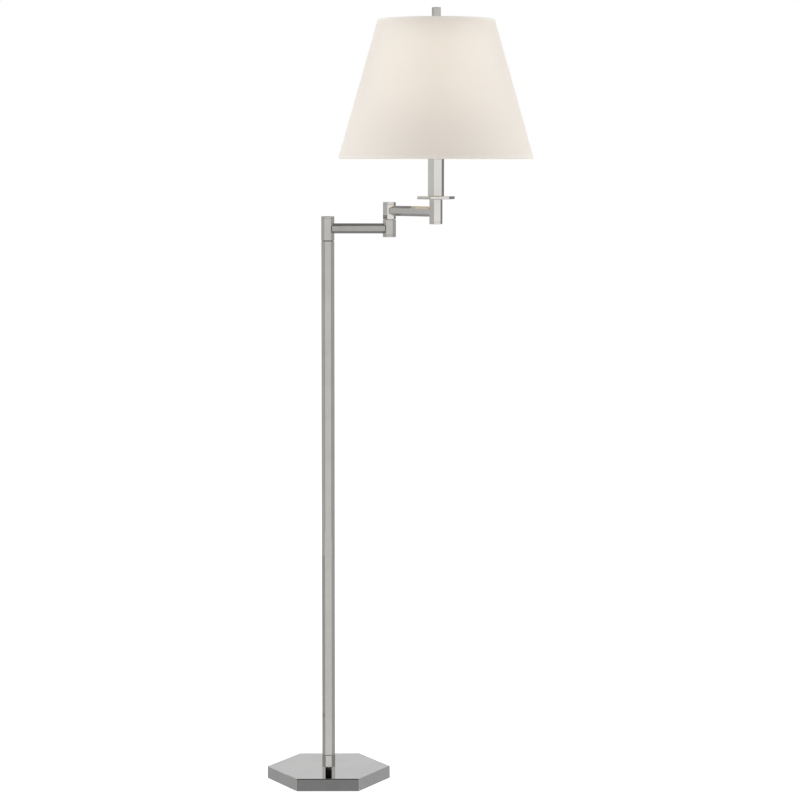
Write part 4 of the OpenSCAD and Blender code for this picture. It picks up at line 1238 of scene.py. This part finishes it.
@dataclass
class EmpireShade:
    """The empire shade: cloth over a stiff lining, rolled hems, wire rings and spider."""

    cloth_t: float = 0.5 * MM
    film: float = 0.02 * MM
    lining_t: float = 0.4 * MM
    ring_r: float = 1.6 * MM
    tape_w: float = 5.0 * MM
    tape_t: float = 0.4 * MM
    seam_t: float = 0.35 * MM
    seam_half: float = math.radians(1.4)
    spider_r: float = 1.5 * MM
    spider_bend: float = 5.0 * MM
    spider_start: float = 8.5 * MM
    washer_bore_r: float = 3.2 * MM
    washer_r: float = 11.0 * MM
    washer_t: float = 2.0 * MM
    washer_ease: float = 0.3 * MM
    around: int = 180
    up: int = 12

    def build(self) -> None:
        """Make each layer of the shade and its wire frame."""
        low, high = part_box("shade_cloth")
        self.centre = axis_of("shade_cloth")
        self.low_r = (high.x - low.x) / 2
        self.low_z, self.top_z = low.z, high.z
        spread = [v.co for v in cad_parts["shade_cloth"].data.vertices
                  if v.co.z > high.z - 0.3 * MM]
        self.top_r = max((Vector((c.x, c.y, 0.0)) - self.centre).length for c in spread)
        self.slope = math.atan2(self.low_r - self.top_r, self.top_z - self.low_z)
        self.length = (self.top_z - self.low_z) / math.cos(self.slope)
        dress(["lower_ring"], STEEL)
        values = {"low_z": self.low_z, "height": self.top_z - self.low_z}
        # Cloth, lining and hems each get a painted glow: emission in place of the lamp's light on and
        # through the shade.
        cloth = self._layer("shade_linen", 0.0, self.cloth_t, True)
        fit(cloth, GlowingCloth("ivory_linen", "cloth", (0.76, 0.72, 0.67), 0.72, glow=0.42,
                                painted_limb_glow=0.62, **values), "upper_arm", "shade_cloth")
        lining = self._layer("shade_stiffener", self.cloth_t + self.film, self.lining_t, False)
        fit(lining, GlowingCloth("warm_lining", "lining", (0.84, 0.80, 0.73), 0.6, glow=0.55,
                                 depth=0.00003, warm=(1.0, 0.84, 0.66), **values),
            "upper_arm", "shade_lining")
        hems = Bench.join([self._hem("hem_low", False), self._hem("hem_top", True)],
                          "shade_hems")
        fit(hems, GlowingCloth("hem_tape", "tape", (0.80, 0.775, 0.735), 0.75, glow=0.38,
                               pitch=0.0004, **values), "upper_arm", "shade_tapes")
        self._spider()

    def _on(self, u: float, v: float, angle: float = 0.0) -> Vector:
        """A point at u outward from the cloth's face and v up the slope, at an angle."""
        r = self.low_r + u * math.cos(self.slope) - v * math.sin(self.slope)
        z = self.low_z + u * math.sin(self.slope) + v * math.cos(self.slope)
        return self.centre + Vector((r * math.cos(angle), r * math.sin(angle), z))

    def _layer(self, name: str, inset: float, thick: float, seam: bool) -> bpy.types.Object:
        """Make one layer: a ring extruded up the slope, closed in a seam, then thickened.

        Args:
            name: The name of the new piece.
            inset: How far its outer face lies inside the cloth's.
            thick: Its thickness.
            seam: Whether the layer laps over itself in a seam at the back.

        Returns:
            The layer, with its UV map in metres.
        """
        Bench.clear()
        start = self._on(-inset, 0.0)
        low_r = (start - self.centre - Axis.Z.value * start.z).length
        bpy.ops.mesh.primitive_circle_add(vertices=self.around, radius=low_r,
                                          location=(self.centre.x, self.centre.y, start.z))
        layer = Bench.named(name)
        Bench.edit(layer)
        bpy.ops.mesh.select_all(action="SELECT")
        last = low_r
        for step in range(1, self.up + 1):
            place = self._on(-inset, self.length * step / self.up)
            radius = (place - self.centre - Axis.Z.value * place.z).length
            rise = (self.top_z - self.low_z) / self.up
            bpy.ops.mesh.extrude_region_move(TRANSFORM_OT_translate={"value": (0, 0, rise)})
            bpy.ops.transform.resize(
                value=(radius / last, radius / last, 1.0),
                center_override=(self.centre.x, self.centre.y, place.z))
            last = radius
        bpy.ops.mesh.select_all(action="SELECT")
        bpy.ops.mesh.normals_make_consistent(inside=False)
        if seam:
            Bench.pick_faces(layer, lambda middle, normal: abs(math.atan2(
                middle.x - self.centre.x, middle.y - self.centre.y)) < self.seam_half)
            bpy.ops.mesh.extrude_region_shrink_fatten(
                TRANSFORM_OT_shrink_fatten={"value": self.seam_t})
        Bench.done()
        self._lay_out(layer)
        Bench.apply(layer, "SOLIDIFY", thickness=thick, offset=-1.0, use_even_offset=True)
        Bench.smooth(layer)
        return layer

    def _lay_out(self, piece: bpy.types.Object) -> None:
        """Lay a piece of the shade out flat on a UV map in metres.

        Args:
            piece: The piece, with its place in its mesh.
        """
        mean = (self.low_r + self.top_r) / 2
        layer = piece.data.uv_layers.get("cloth") or piece.data.uv_layers.new(name="cloth")
        for polygon in piece.data.polygons:
            middle = polygon.center - self.centre
            about = math.atan2(middle.y, middle.x)
            for index in polygon.loop_indices:
                co = piece.data.vertices[piece.data.loops[index].vertex_index].co
                offset = co - self.centre
                angle = math.atan2(offset.y, offset.x)
                if angle - about > math.pi:
                    angle -= math.tau
                elif about - angle > math.pi:
                    angle += math.tau
                up = (co.z - self.low_z) / math.cos(self.slope)
                layer.data[index].uv = (angle * mean, up)

    def _hem(self, name: str, top: bool) -> bpy.types.Object:
        """Fold a strip of tape over a rim: its section is traced, then spun round the shade.

        Args:
            name: The name of the new piece.
            top: Whether it is the upper rim.

        Returns:
            The hem.
        """
        deep = self.cloth_t + self.lining_t + 2 * self.ring_r
        t, w = self.tape_t, self.tape_w
        middle, half = -deep / 2, deep / 2
        folds = 10
        outer = [(0.0 + t, w)] + [
            (middle + (half + t) * math.cos(a), -(half + t) * math.sin(a) * 0.22)
            for a in [math.pi * i / folds for i in range(folds + 1)]] + [(-deep - t, w)]
        inner = [(-deep, w)] + [
            (middle - half * math.cos(a), -half * math.sin(a) * 0.12)
            for a in [math.pi * i / folds for i in range(folds + 1)]] + [(0.02 * MM, w)]
        section = []
        for u, v in outer + inner:
            place = self._on(u, self.length - v if top else v) - self.centre
            section.append((place.x, place.z))
        hem = Bench.revolve(name, section, self.centre, self.around, closed=True)
        self._lay_out(hem)
        return hem

    def _spider(self) -> None:
        """Bend one arm of the spider, copy it twice, and join arms, ring and washer."""
        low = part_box("spider_frame")[0]
        ring_in = self.ring_r + self.cloth_t + self.lining_t
        ring = self._on(-ring_in, self.length - self.ring_r - 0.3 * MM)
        ring_r = ring.x - self.centre.x
        washer_low = low.z + 0.5 * MM
        arm_z = washer_low + 1.0 * MM
        r, bend, out = self.spider_r, self.spider_bend, self.spider_start
        Bench.clear()
        bpy.ops.mesh.primitive_torus_add(
            major_segments=self.around, minor_segments=16, major_radius=ring_r,
            minor_radius=self.ring_r, location=(self.centre.x, self.centre.y, ring.z))
        parts = [Bench.named("spider_ring")]
        Bench.clear()
        start = Vector((self.centre.x, self.centre.y + out, arm_z))
        bpy.ops.mesh.primitive_circle_add(vertices=14, radius=r, fill_type="NGON", location=start,
                                          rotation=(math.pi / 2, 0.0, 0.0))
        arm = Bench.named("spider_arm")
        Bench.edit(arm)
        bpy.ops.mesh.select_all(action="SELECT")
        reach = ring_r - bend - out
        bpy.ops.mesh.extrude_region_move(TRANSFORM_OT_translate={"value": (0.0, reach, 0.0)})
        bpy.ops.mesh.spin(steps=8, angle=math.pi / 2, axis=(-1.0, 0.0, 0.0),
                          center=(start.x, start.y + reach, arm_z + bend))
        bpy.ops.mesh.extrude_region_move(
            TRANSFORM_OT_translate={"value": (0.0, 0.0, ring.z - arm_z - bend)})
        bpy.ops.mesh.select_all(action="SELECT")
        bpy.ops.mesh.remove_doubles(threshold=MERGE)
        bpy.ops.mesh.normals_make_consistent(inside=False)
        Bench.done()
        parts.append(arm)
        for turn in (120.0, 240.0):
            parts.append(Bench.turned_copy(arm, "spider_arm_%d" % turn, turn, self.centre))
        bore, rim = self.washer_bore_r, self.washer_r
        thick, ease = self.washer_t, self.washer_ease
        washer = Bench.revolve("spider_washer", [
            (bore, 0.0), (rim - ease, 0.0), (rim, ease), (rim, thick - ease),
            (rim - ease, thick), (bore, thick)],
            Vector((self.centre.x, self.centre.y, washer_low)), 48, closed=True)
        parts.append(washer)
        spider = Bench.join(parts, "spider_wires")
        Bench.smooth(spider, 40.0)
        fit(spider, STEEL, "upper_arm", "spider_frame")


# ---- Studio and camera -------------------------------------------------------------------


@dataclass(frozen=True)
class Card:
    """A card in the studio that polished metal reflects, and nothing else sees."""

    name: str
    centre: tuple[float, float, float]
    size: tuple[float, float]
    facing: tuple[float, float, float]
    level: float

    def place(self) -> None:
        """Stand the card in the studio, facing its target."""
        Bench.clear()
        bpy.ops.mesh.primitive_plane_add(size=1.0)
        card = bpy.context.active_object
        card.name = self.name
        aim = Vector(self.facing) - Vector(self.centre)
        turn = aim.to_track_quat("Z", "Y").to_matrix().to_4x4()
        size = Matrix.Diagonal((self.size[0], self.size[1], 1.0, 1.0))
        card.data.transform(Matrix.Translation(Vector(self.centre)) @ turn @ size)
        card.visible_camera = False
        card.visible_diffuse = False
        card.visible_shadow = False
        card.visible_transmission = False
        card.visible_volume_scatter = False
        paint = bpy.data.materials.new(self.name)
        paint.use_nodes = True
        tree = paint.node_tree
        tree.nodes.remove(tree.nodes["Principled BSDF"])
        glow = tree.nodes.new("ShaderNodeEmission")
        glow.inputs["Color"].default_value = (1.0, 1.0, 1.0, 1.0)
        glow.inputs["Strength"].default_value = self.level
        tree.links.new(glow.outputs[0], tree.nodes["Material Output"].inputs["Surface"])
        card.data.materials.append(paint)


def upright(side: str, x: float, y: float, low: float, high: float, wide: float,
            level: float) -> Card:
    """A card that stands square to the lamp's column.

    Args:
        side: The card's name after "card_".
        x: Its place across the picture, in metres.
        y: Its place into the picture.
        low: The height of its lower edge.
        high: The height of its upper edge.
        wide: Its width.
        level: Its brightness.

    Returns:
        The card.
    """
    middle = (low + high) / 2
    return Card("card_" + side, (x, y, middle), (wide, high - low), (0.0, 0.0, middle), level)


@dataclass(frozen=True)
class SoftLamp:
    """A large soft lamp."""

    name: str
    centre: tuple[float, float, float]
    target: tuple[float, float, float]
    size: float
    watts: float
    tint: Colour = (1.0, 1.0, 1.0)

    def place(self) -> None:
        """Hang the lamp, aimed at its target."""
        data = bpy.data.lights.new(self.name, "AREA")
        data.shape = "SQUARE"
        data.size = self.size
        data.energy = self.watts
        data.color = self.tint
        lamp = bpy.data.objects.new(self.name, data)
        lamp.location = self.centre
        aim = Vector(self.target) - Vector(self.centre)
        lamp.rotation_euler = aim.to_track_quat("-Z", "Y").to_euler()
        lamp.visible_glossy = False
        bpy.context.scene.collection.objects.link(lamp)


@dataclass
class Studio:
    """A plain white studio: floor, world, soft lamps and the cards that metal reflects."""

    ambient: float = 0.45
    floor_lift: float = 0.66
    floor_gloss: float = 0.36

    def build(self) -> None:
        """Set up the world, the floor, the lamps and the cards."""
        scene = bpy.context.scene
        scene.view_settings.view_transform = "Standard"
        self._world()
        self._floor()
        for lamp in (
            SoftLamp("soft_left", (-3.1, 0.5, 2.0), (0.2, -0.1, 1.3), 2.0, 50.0,
                     (0.93, 0.975, 1.0)),
            SoftLamp("soft_right", (3.5, 0.5, 2.0), (0.2, -0.1, 1.3), 2.0, 50.0,
                     (0.93, 0.975, 1.0)),
            SoftLamp("soft_front", (0.3, -4.2, 2.4), (0.1, 0.0, 1.0), 2.4, 24.0),
        ):
            lamp.place()
        for card in (*self._beside(), *self._behind(), *self._above_and_below()):
            card.place()

    @staticmethod
    def _beside() -> tuple[Card, ...]:
        """Cards in front and beside, seen in the side facets, the eased edges and the foot."""
        return (
            Card("card_front_right", (1.35, -2.9, 1.2), (1.0, 2.6), (0.1, 0.0, 1.1), 1.42),
            Card("card_left", (-3.0, 0.1, 1.2), (1.6, 3.0), (0.0, 0.0, 1.0), 1.0),
            Card("card_left_low", (-2.96, 0.1, 0.36), (1.6, 1.52), (0.0, 0.1, 0.36), 0.80),
            Card("card_side_left", (-2.9, -1.5, 1.2), (2.3, 3.0), (0.0, 0.0, 1.1), 0.10),
            Card("card_front_left", (-1.45, -3.0, 1.2), (1.9, 3.0), (0.0, 0.0, 1.1), 0.10),
            Card("card_side_right", (2.75, -1.6, 1.2), (1.4, 3.0), (0.0, 0.0, 1.1), 0.15),
            Card("card_right", (3.2, -0.1, 1.2), (1.5, 3.0), (0.0, 0.0, 1.1), 0.15),
            upright("camera", 0.0, -4.89, 1.2473, 1.5873, 0.7, 0.01),
            upright("tripod", 0.0, -4.89, 1.1833, 1.2473, 0.7, 1.68),
        )

    @staticmethod
    def _behind() -> tuple[Card, ...]:
        """Cards behind, seen in the side facets; far and high ones meet at camera height."""
        return (
            upright("back_left", -2.2, 1.75, -0.3, 0.7, 1.9, 0.68),
            upright("back_right", 2.2, 1.75, -0.3, 0.7, 2.1, 0.62),
            upright("far_left", -3.91, 3.11, 0.084, 1.284, 3.4, 0.68),
            upright("far_right", 3.91, 3.11, 0.092, 1.292, 3.7, 0.62),
            upright("high_left", -3.91, 3.11, 1.284, 1.584, 3.4, 1.13),
            upright("high_right", 3.91, 3.11, 1.292, 1.592, 3.7, 1.10),
            upright("top_left", -2.2, 1.75, 1.45, 2.65, 1.9, 0.68),
            upright("top_right", 2.2, 1.75, 1.45, 2.65, 2.1, 0.62),
            upright("notch", 1.62, 2.23, -0.3, 2.7, 0.55, 0.34),
            Card("card_back", (0.1, 5.2, 1.45), (5.0, 1.5), (0.1, 0.0, 1.3), 0.85),
        )

    @staticmethod
    def _above_and_below() -> tuple[Card, ...]:
        """Cards overhead and on the floor, seen in sloped facets and in the base."""
        return (
            Card("card_front_top", (0.0, -4.6, 2.95), (3.0, 1.3), (0.0, -0.1, 0.0), 0.02),
            Card("card_over_far", (-0.8, 3.05, 3.4), (1.8, 1.2), (0.1, 0.0, 1.1), 0.46),
            Card("card_zenith_back", (0.0, 1.85, 3.15), (1.6, 0.6), (0.0, 0.0, 0.0), 0.03),
            Card("card_over", (0.1, -0.7, 3.5), (3.4, 2.4), (0.1, -0.7, 1.0), 0.03),
            Card("card_over_back", (0.1, 1.3, 3.2), (3.4, 1.7), (0.1, 0.0, 1.1), 0.34),
            Card("card_floor_front", (0.0, -15.3, 0.0003), (14.0, 29.4), (0.0, -15.3, 2.0), 1.0),
            Card("card_low_left", (-1.3, 1.2, 0.0003), (2.6, 2.6), (-1.3, 1.2, 2.0), 0.56),
            Card("card_low_right", (1.3, 1.2, 0.0003), (2.6, 2.6), (1.3, 1.2, 2.0), 0.60),
            Card("card_low_back", (0.0, 1.02, 0.005), (1.0, 1.5), (0.0, 1.02, 2.0), 0.46),
            Card("card_low_front", (0.0, -0.161, 0.0006), (0.13, 0.11), (0.0, -0.161, 2.0), 0.36),
        )

    def _world(self) -> None:
        """White for the camera, gloss and glass; a soft ambient for the rest."""
        world = bpy.data.worlds.new("studio")
        world.use_nodes = True
        bpy.context.scene.world = world
        wire = Wiring(world.node_tree)
        seen = self._seen(wire)
        back = world.node_tree.nodes["Background"]
        back.inputs["Color"].default_value = (1.0, 1.0, 1.0, 1.0)
        strength = wire.spread(seen, 0.0, 1.0, self.ambient, 1.0)
        world.node_tree.links.new(strength, back.inputs["Strength"])

    def _floor(self) -> None:
        """A wide white floor that keeps the lamp's shadow."""
        Bench.clear()
        bpy.ops.mesh.primitive_plane_add(size=60.0, location=(0.0, 0.0, 0.0))
        floor = bpy.context.active_object
        floor.name = "studio_floor"
        paint = bpy.data.materials.new("studio_floor")
        paint.use_nodes = True
        tree = paint.node_tree
        wire = Wiring(tree)
        shader = tree.nodes["Principled BSDF"]
        shader.inputs["Base Color"].default_value = (0.86, 0.86, 0.86, 1.0)
        shader.inputs["Roughness"].default_value = 0.9
        shader.inputs["Specular IOR Level"].default_value = 0.0
        shader.inputs["Emission Color"].default_value = (1.0, 1.0, 1.0, 1.0)
        path = wire.node("LightPath")
        lift = wire.math("MULTIPLY", path.outputs["Is Glossy Ray"], self.floor_gloss)
        plain = wire.math("MAXIMUM", path.outputs["Is Camera Ray"],
                          path.outputs["Is Transmission Ray"])
        lift = wire.math("MULTIPLY_ADD", plain, self.floor_lift, lift)
        tree.links.new(lift, shader.inputs["Emission Strength"])
        floor.data.materials.append(paint)

    @staticmethod
    def _seen(wire: Wiring) -> bpy.types.NodeSocket:
        """1 for camera, glossy and transmission rays, and 0 for the rest."""
        path = wire.node("LightPath")
        either = wire.math("MAXIMUM", path.outputs["Is Camera Ray"],
                           path.outputs["Is Glossy Ray"])
        return wire.math("MAXIMUM", either, path.outputs["Is Transmission Ray"])


@dataclass
class PhotoCamera:
    """The camera, at the photograph's viewing angle."""

    place: tuple[float, float, float] = (0.0923, -4.850, 1.2375)
    yaw: float = -0.604
    pitch: float = 5.516
    roll: float = 0.059
    lens: float = 109.9

    def build(self) -> None:
        """Stand the camera and make it the scene's."""
        data = bpy.data.cameras.new("photo_camera")
        data.lens = self.lens
        data.sensor_width = 36.0
        data.clip_end = 100.0
        camera = bpy.data.objects.new("photo_camera", data)
        camera.location = self.place
        turn = (Matrix.Rotation(math.radians(self.yaw), 4, "Z")
                @ Matrix.Rotation(math.radians(90.0 - self.pitch), 4, "X")
                @ Matrix.Rotation(math.radians(self.roll), 4, "Z"))
        camera.rotation_euler = turn.to_euler()
        bpy.context.scene.collection.objects.link(camera)
        bpy.context.scene.camera = camera


def main() -> None:
    """Build the camera, the sub-assemblies and the studio, in order."""
    logging.basicConfig(level=logging.INFO, format="%(name)s: %(message)s")
    PhotoCamera().build()
    for assembly in (WeightedBase(), Column(), SwingArms(), Head(), Harp(), LampHolder(),
                     EmpireShade()):
        LOG.info("building %s", type(assembly).__name__)
        assembly.build()
    Studio().build()
    Bench.clear()


if __name__ == "__main__":
    main()
